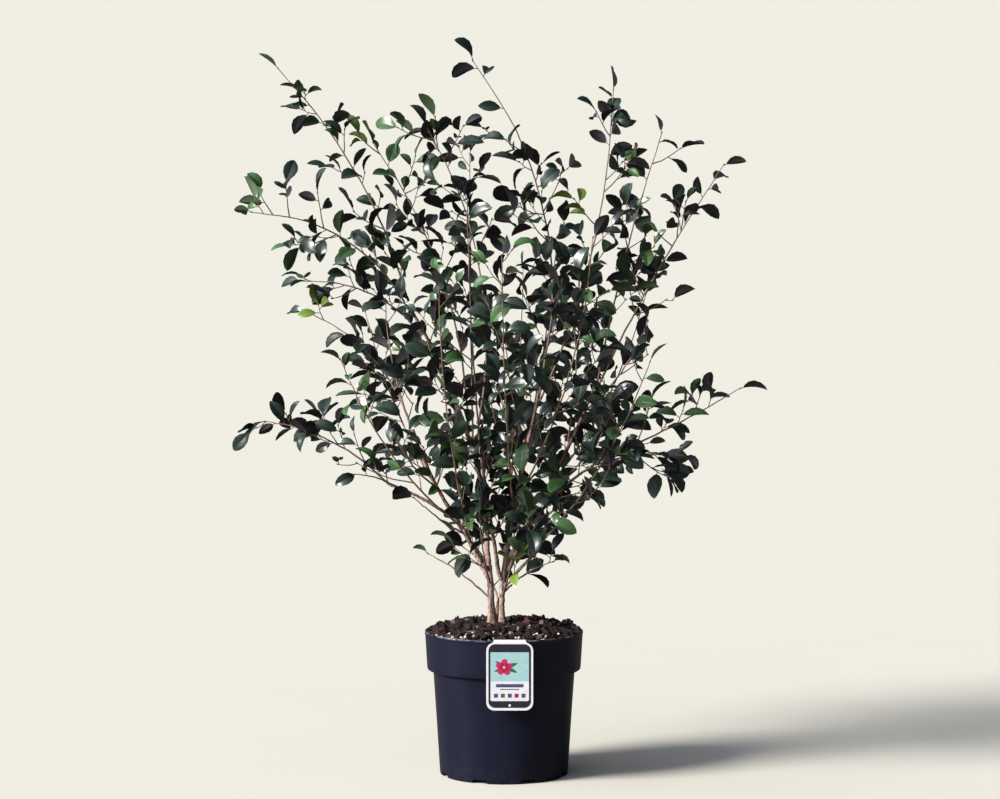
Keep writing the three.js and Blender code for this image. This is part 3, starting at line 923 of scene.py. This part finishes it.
bark = {
    "rootDepth": 18,  # how far the stems go down into the compost
    "flare": 0.6,
    "flareFade": 3,  # how fast the flare goes, up from the compost
    "sway": 0.5,
    "uneven": (0.97, 1.03),  # of the thickness, from point to point
    "rootThick": 1.15,
    "forkThick": 0.95,
    "forkBack": 8,
    "voxel": 1.0,
    "smoothing": 3,
    "lumps": (0.016, 0.0008),  # size and height of slow swellings, in metres
    "ridges": (0.0035, 0.0006),
    "paintedShadeSide": (0.88, 0.475, 0),  # the side away from the lamp, on which shade is painted dark into the bark
    "seed": 5,
}


def limbLine(name, limb, random):
    line = rounded(limb["points"])
    thick = []
    for i, point in enumerate(line):
        share = i / (len(line) - 1)
        flare = bark["flare"] * max(0, 1 - bark["flareFade"] * share) ** 2 if name in stems else 0
        thick.append(blend(*limb["radius"], share) * (1 + flare) * random.uniform(*bark["uneven"]))
        if 0 < share < 1:
            line[i] = point + wander(random, bark["sway"])
    if name in stems:
        root = line[0] - Vector((0, 0, bark["rootDepth"]))
        return [root, *line], [bark["rootThick"] * thick[0], *thick]
    root = innerRoot(limb, bark["forkBack"])
    return [root, *line], [bark["forkThick"] * thick[0], *thick]


def drawLimb(name, limb, random):
    line, thick = limbLine(name, limb, random)
    curve = startPiece(bpy.ops.curve.primitive_bezier_curve_add, location=(0, 0, 0)).data
    adjust(curve, dimensions="3D", bevel_depth=mm, bevel_resolution=4, resolution_u=3)
    curve.use_fill_caps = True
    knots = curve.splines[0].bezier_points
    knots.add(len(line) - 2)
    for knot, point, radius in zip(knots, line, thick):
        adjust(knot, co=point * mm, radius=radius)
        adjust(knot, handle_left_type="AUTO", handle_right_type="AUTO")
    bpy.ops.object.convert(target="MESH")
    return bpy.context.object


# Marks how far each point of the limbs faces away from the lamp, for the painted shade.
def markPaintedShade(trunk):
    normals = np.array([vertex.normal for vertex in trunk.data.vertices])
    painted_shade = trunk.data.attributes.new("painted_shade", "FLOAT", "POINT")
    painted_shade.data.foreach_set("value", normals @ np.array(bark["paintedShadeSide"]))


# Pale tan streaks low down, redder and darker higher up, with small dark pores, and painted shade
# on the side away from the lamp
def barkMaterial():
    material, shader = newMaterial("bark")
    tree = material.node_tree
    tones = addTones(
        shader, (0.1, 0.046, 0.035), (0.62, 0.45, 0.38), (0.62, 0.85),
        Scale=105, Stretch=(1, 1, 0.16), Detail=7, Low=0.36, High=0.62,
    )
    age = placeGroup(tree, mottle, Scale=14, Stretch=(1, 1, 0.6), Detail=3, Low=0.4, High=0.6)
    pores = placeGroup(tree, mottle, Scale=150, Stretch=(1, 1, 0.4), Detail=6, Low=0.5, High=0.64)
    height = addNode(tree, "SeparateXYZ", "Z", {0: addNode(tree, "TexCoord", "Object")})
    reddening = scaled(tree, ramp(tree, height, (0.34, 0.52)), age["Mask"])
    # Painted shade: the bark goes dark brown on the side that faces away from the lamp.
    facing = addNode(tree, "Attribute", "Fac", attribute_name="painted_shade")
    painted_shade = ramp(tree, facing, (-0.25, 0.5), (0, 0.9))
    tone = overlay(tree, reddening, tones["Color"], (0.19, 0.085, 0.055))
    tone = overlay(tree, scaled(tree, pores["Mask"], 0.9), tone, (0.045, 0.022, 0.017))
    feed(shader, {"Base Color": overlay(tree, painted_shade, tone, (0.04, 0.02, 0.016))})
    addBump(shader, 0.6, 0.0006, Scale=320, Stretch=(1, 1, 0.35), Fine=0.7)
    return material


def makeLimbs():
    random = np.random.default_rng(bark["seed"])
    trunk = joinAll([drawLimb(name, limb, random) for name, limb in limbs.items()])
    modify(trunk, "REMESH", mode="VOXEL", voxel_size=bark["voxel"] * mm)
    modify(trunk, "SMOOTH", factor=0.5, iterations=bark["smoothing"])
    press(trunk, "bark_lumps", "CLOUDS", *bark["lumps"])
    press(trunk, "bark_ridges", "STUCCI", *bark["ridges"])
    markPaintedShade(trunk)
    makeActive(trunk)
    bpy.ops.object.shade_smooth()
    paint(trunk, barkMaterial())
    finishPiece(trunk, "barked_limbs", "bark", *stems, *("bough_" + name for name in boughs))


makeLimbs()


# Growth: each shoot branches by the same seeded rule as its solid, and then into finer twigs.

growth = {
    "twigs": (0.12, 0.76, 92),  # the first and last on a shoot, as shares of it, and their spacing
    "twigAngle": 48,
    "twigRise": 0.22,
    "shortened": 0.6,  # length tried where a whole twig has no room, as a share of it
    "shortening": (1.15, 0.5),  # length at a carrier's foot, and what is lost to its tip
    "turn": 137.5,
    "lowest": 262,
    "limbClearance": 2.5,
    "margin": 2,
    "hullMargin": 4,
    "mingling": 16,  # how far fine twigs and leaves may reach into a neighbour's space
    "shootThick": (1.9, 0.7),
    "twigThick": (1.2, 0.65),
    "sprigThick": (0.95, 0.55),
    "forkBack": 6,
    "joint": 16,  # length of a twig's straight parts
    "zigzag": 0.7,
    "bow": 0.07,
    # from which share of a carrier to which they stand, their spacing, and their length as a share
    "spurs": (0.14, 0.97, 34, (0.3, 0.62)),
    "sprigs": (0.3, 0.9, 30, (0.35, 0.62)),
    "limbSpurs": (0.1, 0.98, 22, (0.35, 0.8)),
    "offset": (0.1, 0.9),  # of each from its even place, as a share of the spacing
    "limbReach": 80,
    "lowestFork": 325,  # the stems are bare below this height
    "shortest": 15,
    "seed": 900,
}


def seededRandom(seed):
    state = seed

    def draw():
        nonlocal state
        state = (state * 1664525 + 1013904223) % 2 ** 32
        return state / 2 ** 32

    return draw


def asSegments(limbs):
    starts = np.array([point for limb in limbs.values() for point in limb["points"][:-1]])
    ends = np.array([point for limb in limbs.values() for point in limb["points"][1:]])
    return starts, ends - starts


def distancesTo(segments, places):
    starts, along = segments
    offset = places[:, None] - starts
    share = np.clip((offset * along).sum(2) / (along ** 2).sum(1), 0, 1)
    return np.linalg.norm(offset - share[:, :, None] * along, axis=2)


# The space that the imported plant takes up, in millimetres
hull = np.array([list(corner) for corner in cadBox]) / mm
limbSegments = asSegments(limbs)
shootSegments = asSegments(shoots)
limbRoom = growth["limbClearance"] + np.concatenate(
    [np.full(len(limb["points"]) - 1, limb["radius"][0]) for limb in limbs.values()]
)


# A shoot's own space is what lies nearer it than any other shoot, clear of the limbs.
def isFree(places, order, mingling=0):
    places = np.array(places)
    low, high = hull[0] + growth["hullMargin"], hull[1] - growth["hullMargin"]
    if places[:, 2].min() < growth["lowest"] or (places < low).any() or (places > high).any():
        return False
    if (distancesTo(limbSegments, places) < limbRoom).any():
        return False
    if order is None:
        return True
    away = distancesTo(shootSegments, places).reshape(len(places), len(shoots), -1).min(2)
    own = away[:, order] + growth["margin"] - mingling
    return bool((np.delete(away, order, 1).min(1) > own).all())


# A direction that leaves a twig at an angle, turned round it
def branchOff(tangent, angle, turn):
    side = Quaternion(tangent, math.radians(turn)) @ Vector((0, 0, 1)).cross(tangent).normalized()
    return Quaternion(side, math.radians(angle)) @ tangent


# The tip of a side twig, as long as given or shorter where that isn't free
def openTwig(points, at, turn, length, order, mingling=0):
    root = pointAt(points, at)
    out = branchOff(tangentAt(points, at), growth["twigAngle"], turn)
    out.z += growth["twigRise"]
    out.normalize()
    for reach in (length, growth["shortened"] * length):
        if isFree([root + out * (reach / 2), root + out * reach], order, mingling):
            return root + out * reach
    return None


# A fine line from root to tip that hangs a little in its middle and wanders at its joints
def bowed(root, tip, random):
    reach = (tip - root).length
    steps = max(3, int(reach / growth["joint"]))
    line = [root]
    for share in (i / steps for i in range(1, steps + 1)):
        hang = Vector((0, 0, growth["bow"] * reach * math.sin(math.pi * share)))
        line.append(root.lerp(tip, share) - hang + wander(random, growth["zigzag"] * (share < 1)))
    return line


def lineLength(line):
    return sum((b - a).length for a, b in zip(line, line[1:]))


# Twigs get shorter towards their carrier's tip.
def shortening(at):
    first, loss = growth["shortening"]
    return first - loss * at


def newTwig(carrier, at, tip, thick, random):
    line = bowed(pointAt(carrier["line"], at), tip, random)
    return {"carrier": carrier, "at": at, "line": line, "thick": thick, "order": carrier["order"]}


# Spurs on a shoot or limb and sprigs on a twig: the same rule at a finer step
def addFiner(twigs, carrier, key, reach, thick, random):
    first, last, spacing, shares = growth[key]
    line = carrier["line"]
    count = int((last - first) * lineLength(line) / spacing)
    firstTurn = random.uniform(0, 360)
    for i in range(count):
        at = blend(first, last, (i + random.uniform(*growth["offset"])) / count)
        if pointAt(line, at).z < growth["lowestFork"] and carrier["order"] is None:
            continue
        length = max(growth["shortest"], reach * random.uniform(*shares) * shortening(at))
        turn = firstTurn + i * growth["turn"]
        tip = openTwig(line, at, turn, length, carrier["order"], growth["mingling"] / 2)
        if tip:
            twigs.append(newTwig(carrier, at, tip, thick, random))


def withSprigs(twigs, random):
    sprigs = []
    for twig in twigs:
        addFiner(sprigs, twig, "sprigs", lineLength(twig["line"]), growth["sprigThick"], random)
    return twigs + sprigs


def growShoot(shoot, random):
    order = shoot["order"]
    first, last, spacing = growth["twigs"]
    line = rounded(shoot["points"])
    line[1:-1] = [point + wander(random, growth["zigzag"]) for point in line[1:-1]]
    inner = innerRoot(shoot, growth["forkBack"])
    stalk = {"line": line, "inner": inner, "thick": growth["shootThick"], "order": order, "at": 1}
    twigs = []
    branching = seededRandom(shoot["seed"])
    count = int((last - first) * shoot["reach"] / spacing + 0.5) + 1
    firstTurn = 360 * branching()
    for i in range(count):
        at = first + (last - first) * (i + 0.5 * branching()) / count
        length = shoot["spread"] * shortening(at) * (0.8 + 0.4 * branching())
        tip = openTwig(shoot["points"], at, firstTurn + i * growth["turn"], length, order)
        if tip:
            twigs.append(newTwig(stalk, at, tip, growth["twigThick"], random))
    twigs = withSprigs(twigs, random)
    addFiner(twigs, stalk, "spurs", shoot["spread"], growth["sprigThick"], random)
    return stalk, twigs


def growLoneTwigs(stalk, rows, random):
    lone = []
    for at, heading, lean, length in rows:
        tip = pointAt(stalk["line"], at) + direction(heading, lean) * length
        twig = newTwig(stalk, at, tip, growth["twigThick"], random)
        lone.append({**twig, "order": None})
    return lone


def growOnLimb(limb, random):
    spurs = []
    carrier = {"line": rounded(limb["points"]), "order": None}
    addFiner(spurs, carrier, "limbSpurs", growth["limbReach"], growth["twigThick"], random)
    return withSprigs(spurs, random)


def growAll():
    seed = growth["seed"]
    random = [np.random.default_rng((seed, i)) for i in range(len(shoots) + len(limbs))]
    grown = {name: growShoot(shoot, random.pop()) for name, shoot in shoots.items()}
    twigs = [twig for stalk, twigs in grown.values() for twig in twigs]
    for limb in limbs.values():
        twigs += growOnLimb(limb, random.pop())
    for i, (name, rows) in enumerate(loneTwigs.items()):
        twigs += growLoneTwigs(grown[name][0], rows, np.random.default_rng((seed, 99, i)))
    return [stalk for stalk, twigs in grown.values()], twigs


stalks, twigs = growAll()
print("grown:", len(stalks), "shoots and", len(twigs), "twigs")


# Leaves: where each stands and how it is bent

foliage = {
    "angle": 54,
    "tipAngle": 24,
    "sink": 0.15,
    "level": 0.3,
    "room": 9,  # least distance between the middles of two leaves
    "stalk": (4, 7.5),
    "length": (45, 41),  # at the foot and at the tip of a shoot
    "sizes": (0.6, 0.72, 0.84, 0.92, 0.98, 1.02, 1.06),
    "shape": (0.5, 0.64),  # width as a share of length
    "bend": (0.25, 1.45),
    "bendBias": 1.5,  # above 1, more of the leaves are flat
    "fold": (0.2, 0.55),
    "twist": 0.5,
    "thick": 0.5,
    # spacing of the leaves, the share that is bare at the foot, and the least count
    "onShoot": (24, 0.25, 4),
    "onTwig": (14.5, 0.14, 3),
    "last": 0.98,  # place of the last leaf along its twig
    "leastStep": 0.02,  # between the last two points of a twig, as a share of it
    "crowding": 0.6,  # below 1, leaves are closer towards the tip
    # heights between which sprays get scarcer round the middle, how far out, and how many go
    "thinning": (600, 800, 300, 0.5),
    # other shares that are left out, the most open first, and where: X, Z and size
    "sky": {
        1: ((36, 1090, 40), (-62, 1156, 10), (215, 1090, 38), (-301, 728, 35)),
        0.95: (
            (-300, 690, 50), (290, 700, 50), (-390, 505, 60), (355, 575, 45), (92, 1037, 45),
            (290, 770, 48), (-105, 317, 40), (-170, 580, 52), (-366, 1102, 38),
        ),
        0.9: (
            (-170, 448, 62), (-235, 455, 40), (-270, 420, 60), (-110, 1160, 30), (-56, 309, 45),
            (-366, 906, 38),
        ),
        0.85: ((-50, 370, 50),),
        0.8: ((160, 385, 60), (-301, 644, 40), (157, 971, 40), (222, 971, 38)),
        0.75: ((-301, 840, 40), (26, 775, 45), (-105, 390, 50), (26, 317, 40), (170, 440, 50)),
        0.7: (
            (-180, 370, 60), (225, 695, 52), (83, 317, 45), (-39, 840, 40), (290, 575, 38),
        ),
        0.6: (
            (290, 840, 45), (305, 1040, 40), (-301, 505, 40), (345, 905, 38), (255, 1037, 45),
            (-235, 775, 40), (-170, 1037, 35),
        ),
        0.55: ((157, 889, 50),),
        0.5: (
            (361, 979, 40), (222, 644, 40), (400, 620, 35), (-366, 1167, 30), (157, 845, 42),
            (92, 975, 38), (-293, 1102, 30), (-105, 971, 38), (-235, 971, 38),
        ),
        0.4: (
            (-56, 890, 52), (320, 1003, 30), (-105, 710, 50), (26, 1037, 35), (-235, 720, 50),
            (285, 971, 35), (10, 385, 40), (-301, 1037, 40),
        ),
        0.35: ((-235, 513, 38), (26, 710, 40)),
        0.3: ((26, 650, 45), (150, 650, 45)),
        0.2: ((-301, 955, 38),),
        0.15: ((-235, 579, 40),),
        0.1: ((-105, 791, 50), (370, 640, 40), (92, 718, 45)),
        0.05: ((30, 930, 65),),
        0: ((-170, 840, 40), (157, 775, 45), (222, 840, 45), (92, 513, 45)),
    },
    "green": 0.2,
    # places near which greener sprays and the newest ones stand, in X and Z
    "fresh": (
        (-379, 968), (219, 986), (-88, 809), (-31, 837), (-248, 644), (29, 494), (-23, 507),
    ),
    "young": (
        (-235, 1061), (116, 925), (-47, 790), (-291, 768), (11, 448), (-16, 366), (75, 484),
    ),
    "freshDepth": 20,  # the most that they may lie behind the middle
    "seed": 77,
}


# A blade's middle, its two sides and its tip
def bladeCorners(leaf):
    middle = leaf["base"] + leaf["along"] * (0.5 * leaf["length"])
    side = leaf["across"] * (0.45 * leaf["width"])
    droop = leaf["face"] * (-0.4 * leaf["bend"] * leaf["length"])
    tip = leaf["base"] + leaf["along"] * (0.9 * leaf["length"]) + droop
    return [middle, middle + side, middle - side, tip]


def placeLeaf(twig, at, angle, turn, random):
    along = branchOff(tangentAt(twig["line"], at), angle, turn)
    along.z -= foliage["sink"] * random.random()
    along.normalize()
    up = Vector((random.random() - 0.5, random.random() - 0.5, foliage["level"]))
    across = up.cross(along).normalized()
    root = pointAt(twig["line"], at)
    size = random.choice(foliage["sizes"]) * blend(*foliage["length"], twig["at"] * at)
    return {
        "at": at, "root": root, "base": root + along * random.uniform(*foliage["stalk"]),
        "along": along, "across": across, "face": along.cross(across), "length": size,
        "width": size * random.uniform(*foliage["shape"]),
        "bend": blend(*foliage["bend"], random.random() ** foliage["bendBias"]),
        "fold": random.uniform(*foliage["fold"]), "twist": foliage["twist"] * random.normal(),
    }


# How likely a spray, or a leaf on a shoot, is left out
def scarcity(place):
    for share, spots in foliage["sky"].items():
        if any(math.hypot(place.x - x, place.z - z) < size for x, z, size in spots):
            return share
    low, high, reach, most = foliage["thinning"]
    height = min(max((place.z - low) / (high - low), 0), 1)
    return most * height * max(0, 1 - math.hypot(place.x, place.y) / reach)


def leavesAlong(twig, middles, random):
    line = twig["line"]
    isShoot = "inner" in twig
    if not isShoot and random.random() < scarcity(line[-1]):
        return []
    gap, bare, least = foliage["onShoot" if isShoot else "onTwig"]
    count = max(least, int(lineLength(line) * (1 - bare) / gap + 0.5))
    firstTurn = random.uniform(0, 360)
    leaves = []
    for i in range(count):
        at = blend(bare, foliage["last"], ((i + 1) / count) ** foliage["crowding"])
        last = i == count - 1
        angle = foliage["tipAngle"] if last else foliage["angle"] * random.uniform(0.8, 1.2)
        leaf = placeLeaf(twig, at, angle, firstTurn + i * growth["turn"], random)
        if isShoot and not last and random.random() < scarcity(leaf["base"]):
            continue
        corners = bladeCorners(leaf)
        middle = np.array(corners[0])
        if middles and np.linalg.norm(np.array(middles) - middle, axis=1).min() < foliage["room"]:
            continue
        if isFree(corners, twig["order"], growth["mingling"]):
            middles.append(middle)
            leaves.append(leaf)
    return leaves


# Sprays take one colour each. The greener ones are those whose tips are nearest the places given.
def dealColours(sprays, random):
    for spray in sprays:
        spray["kind"] = "green" if random.random() < foliage["green"] else "dark"
    leafy = [(spray, spray["twig"]["line"][-1]) for spray in sprays if spray["leaves"]]
    front = [(spray, tip.xz) for spray, tip in leafy if tip.y < foliage["freshDepth"]]
    for kind, key in (("green", "fresh"), ("young", "young")):
        for place in foliage[key]:
            nearest = min(front, key=lambda candidate: math.dist(place, candidate[1]))
            nearest[0]["kind"] = kind


# A twig ends at its last leaf, or at the last twig that it carries.
def trimTwigs(sprays):
    for spray in sprays:
        spray["twig"]["end"] = spray["leaves"][-1]["at"] if spray["leaves"] else 0
    for twig in reversed(twigs):
        if twig["end"] and "end" in twig["carrier"]:
            twig["carrier"]["end"] = max(twig["carrier"]["end"], twig["at"])
    for twig in [*stalks, *twigs]:
        line = twig["line"]
        last = (twig["end"] - foliage["leastStep"]) * (len(line) - 1)
        kept = [point for i, point in enumerate(line) if i < last]
        twig["line"] = [*kept, pointAt(line, twig["end"])]


def dressTwigs():
    middles = []
    sprays = []
    for order, twig in enumerate([*stalks, *twigs]):
        random = np.random.default_rng((foliage["seed"], order))
        sprays.append({"twig": twig, "leaves": leavesAlong(twig, middles, random)})
    trimTwigs(sprays)
    dealColours(sprays, random)  # goes on with the last twig's draws
    kinds = {"dark": [], "green": [], "young": []}
    for spray in sprays:
        kinds[spray["kind"]] += spray["leaves"]
    return kinds, [twig for twig in twigs if twig["end"]]


leafKinds, twigs = dressTwigs()
print("leaves:", {kind: len(leaves) for kind, leaves in leafKinds.items()})


# Tubes of few sides: shoots, twigs, leaf stalks and buds

tubes = {
    "shootSides": 7,
    "twigSides": 5,
    "stalkSides": 4,
    "stalkThick": (0.75, 0.55),
    "stalkInto": 0.12,  # how far a stalk runs on under its blade, as a share of the blade
    "stalkArch": 0.3,
    "budLength": 5.5,
    "budThick": (0.7, 1.25, 0.95, 0.2),
    "budSink": 0.3,  # how far a bud sits back on its twig, as a share of its steps
}


# Each tube is a line, its thickness at each point, and its number of sides.
def joinTubes(name, rods):
    points = []
    faces = []
    for line, thick, sides in rods:
        start = len(points)
        ends = np.array(line)
        tangents = np.gradient(ends, axis=0)
        tangents /= np.linalg.norm(tangents, axis=1)[:, None]
        axis = np.eye(3)[np.abs(ends[-1] - ends[0]).argmin()]
        right = axis - tangents * (tangents @ axis)[:, None]
        right /= np.linalg.norm(right, axis=1)[:, None]
        ahead = np.cross(tangents, right)
        turns = np.arange(sides) * 2 * math.pi / sides
        rings = ends[:, None] + np.array(thick)[:, None, None] * (
            right[:, None] * np.cos(turns)[:, None] + ahead[:, None] * np.sin(turns)[:, None]
        )
        points.extend(rings.reshape(-1, 3))
        for low in range(start, len(points) - sides, sides):
            for i in range(sides):
                j = (i + 1) % sides
                faces.append((low + i, low + j, low + sides + j, low + sides + i))
        faces.append(tuple(range(start + sides - 1, start - 1, -1)))
        faces.append(tuple(range(len(points) - sides, len(points))))
    return meshFromArrays(name, points, faces)


def taperedRod(line, thick, sides):
    return line, [blend(*thick, i / (len(line) - 1)) for i in range(len(line))], sides


def budRod(twig):
    tip = twig["line"][-1]
    out = (tip - twig["line"][-2]).normalized()
    step = tubes["budLength"] / (len(tubes["budThick"]) - 1)
    line = [tip + out * (step * (i - tubes["budSink"])) for i in range(len(tubes["budThick"]))]
    return line, tubes["budThick"], tubes["twigSides"]


def leafStalk(leaf):
    into = leaf["base"] + leaf["along"] * (tubes["stalkInto"] * leaf["length"])
    middle = leaf["root"].lerp(into, 0.5) + leaf["face"] * tubes["stalkArch"]
    return taperedRod([leaf["root"], middle, into], tubes["stalkThick"], tubes["stalkSides"])


def makeTwigs():
    shootPiece = joinTubes("shoots", [
        taperedRod([stalk["inner"], *stalk["line"]], stalk["thick"], tubes["shootSides"])
        for stalk in stalks
    ])
    twigPiece = joinTubes("twigs", [
        *(taperedRod(twig["line"], twig["thick"], tubes["twigSides"]) for twig in twigs),
        *(budRod(twig) for twig in [*twigs, *stalks]),
        *(leafStalk(leaf) for leaves in leafKinds.values() for leaf in leaves),
    ])
    grain = {"strength": 0.5, "distance": 0.0004, "Scale": 420, "Stretch": (1, 1, 0.4)}
    paint(shootPiece, toneMaterial(
        "young_bark", (0.11, 0.06, 0.045), (0.34, 0.22, 0.165), (0.5, 0.75),
        bump=grain, tones={"Scale": 60, "Stretch": (1, 1, 0.3), "Detail": 6},
    ))
    paint(twigPiece, toneMaterial(
        "green_bark", (0.075, 0.05, 0.036), (0.15, 0.125, 0.06), (0.45, 0.65),
        bump=grain, tones={"Scale": 35, "Detail": 4},
    ))
    for piece in (shootPiece, twigPiece):
        shadeByAngle(piece, 60)
        finishPiece(piece, piece.name, "bark")


makeTwigs()


# Leaf meshes: thin closed shells, folded along the midrib, bent back and twisted

blade = {
    "stations": (0.08, 0.28, 0.5, 0.72, 0.89),
    "above": (-1, -0.5, -0.045, 0.045, 0.5, 1),
    "below": (-0.5, 0, 0.5),
    "fullness": 0.75,  # of the outline, where 1 is slender
    "groove": 0.25,  # depth of the midrib
    "keel": 1.2,  # how far the midrib stands out below, as a share of the groove
    "bulge": 0.12,  # how much each half is arched, as a share of half the width
    "tones": {  # blade, midrib and underside, whose tones are painted dark as shade
        "dark": ((0.0105, 0.0235, 0.016), (0.035, 0.06, 0.035), (0.018, 0.0175, 0.0195)),
        "green": ((0.036, 0.086, 0.026), (0.09, 0.15, 0.06), (0.035, 0.06, 0.026)),
        "young": ((0.12, 0.2, 0.025), (0.2, 0.28, 0.06), (0.13, 0.19, 0.035)),
    },
}


def outline(share):
    return math.sin(math.pi * share) ** blade["fullness"]


# The faces of one leaf, each with a slot: 0 for the blade, 1 for the midrib, 2 for the underside.
# Point 0 is the foot and point 1 the tip. Each station has its points above, then those below.
def leafFaces():
    above = len(blade["above"])
    size = above + len(blade["below"])
    upper = list(range(above))
    lower = [0, *range(above, size), above - 1]
    faces = []
    slots = []
    rows = [2 + size * i for i in range(len(blade["stations"]))]
    for left, right, slot in (
        *((a, b, 1 if a == above // 2 - 1 else 0) for a, b in zip(upper, upper[1:])),
        *((b, a, 2) for a, b in zip(lower, lower[1:])),
    ):
        faces.append((0, rows[0] + left, rows[0] + right))
        for low, high in zip(rows, rows[1:]):
            faces.append((low + left, high + left, high + right, low + right))
        faces.append((rows[-1] + left, 1, rows[-1] + right))
        slots += [slot] * (len(rows) + 1)
    return faces, slots


def leafPoints(leaves):
    base, along, across, face, length, width, bend, fold, twist = (
        np.array([leaf[key] for leaf in leaves])[:, None]
        for key in ("base", "along", "across", "face", "length", "width", "bend", "fold", "twist")
    )

    # Points at one station along the leaf, at sideways shares, lifted off the middle surface
    def points(station, sides, lift):
        half = 0.5 * width * outline(station)
        flat = half * sides
        rise = fold * np.abs(flat) + blade["bulge"] * half * np.sin(math.pi * np.abs(sides)) + lift
        turn = twist * station
        sideways = flat * np.cos(turn) - rise * np.sin(turn)
        rise = flat * np.sin(turn) + rise * np.cos(turn)
        swung = bend * station
        ahead = length * np.sin(swung) / bend + rise * np.sin(swung)
        height = -length * (1 - np.cos(swung)) / bend + rise * np.cos(swung)
        shares = ((along, ahead), (across, sideways), (face, height))
        return sum((axis * share[:, :, None] for axis, share in shares), base)

    foot = np.array([0])
    rows = [points(0.0, foot, 0), points(1.0, foot, 0)]
    above = np.array(blade["above"])
    below = np.array(blade["below"])
    for station in blade["stations"]:
        groove = blade["groove"] * outline(station)
        body = 0.5 * foliage["thick"] * (1 - above ** 2) - groove * (np.abs(above) < 0.1)
        under = -0.5 * foliage["thick"] * (1 - below ** 2) - blade["keel"] * groove * (below == 0)
        rows += [points(station, above, body), points(station, below, under)]
    return np.concatenate(rows, 1)


def leafMaterials(kind, top, rib, shaded_underside):
    lighter = [1.5 * c for c in top]
    soft = {"distance": 0.0004, "Fine": 0.6}
    tones = {"Scale": 22, "Detail": 3}
    return [
        toneMaterial(
            kind + "_blade", top, lighter, (0.28, 0.4), Coat_Weight=0.5, Coat_Roughness=0.2,
            bump={"strength": 0.25, "Scale": 260, **soft}, tones=tones,
        ),
        toneMaterial(kind + "_rib", rib, lighter, (0.35, 0.45), tones={"Scale": 40}),
        # Painted shade: the underside is darker than a real leaf's pale underside.
        toneMaterial(
            kind + "_underside", shaded_underside, [1.35 * c for c in shaded_underside], (0.5, 0.62),
            bump={"strength": 0.3, "Scale": 300, **soft}, tones=tones, Specular_IOR_Level=0.25,
        ),
    ]


def makeLeaves(kind, *replaced):
    faces, slots = leafFaces()
    points = leafPoints(leafKinds[kind])
    count, size, axes = points.shape
    many = [tuple(size * i + corner for corner in face) for i in range(count) for face in faces]
    piece = meshFromArrays("leaves_" + kind, points.reshape(-1, axes), many)
    paint(piece, *leafMaterials(kind, *blade["tones"][kind]), kinds=np.tile(slots, count))
    shadeByAngle(piece, 60)
    finishPiece(piece, piece.name, "foliage", *replaced)


makeLeaves("dark", *("foliage_" + name for name in masses))
makeLeaves("green")
makeLeaves("young")
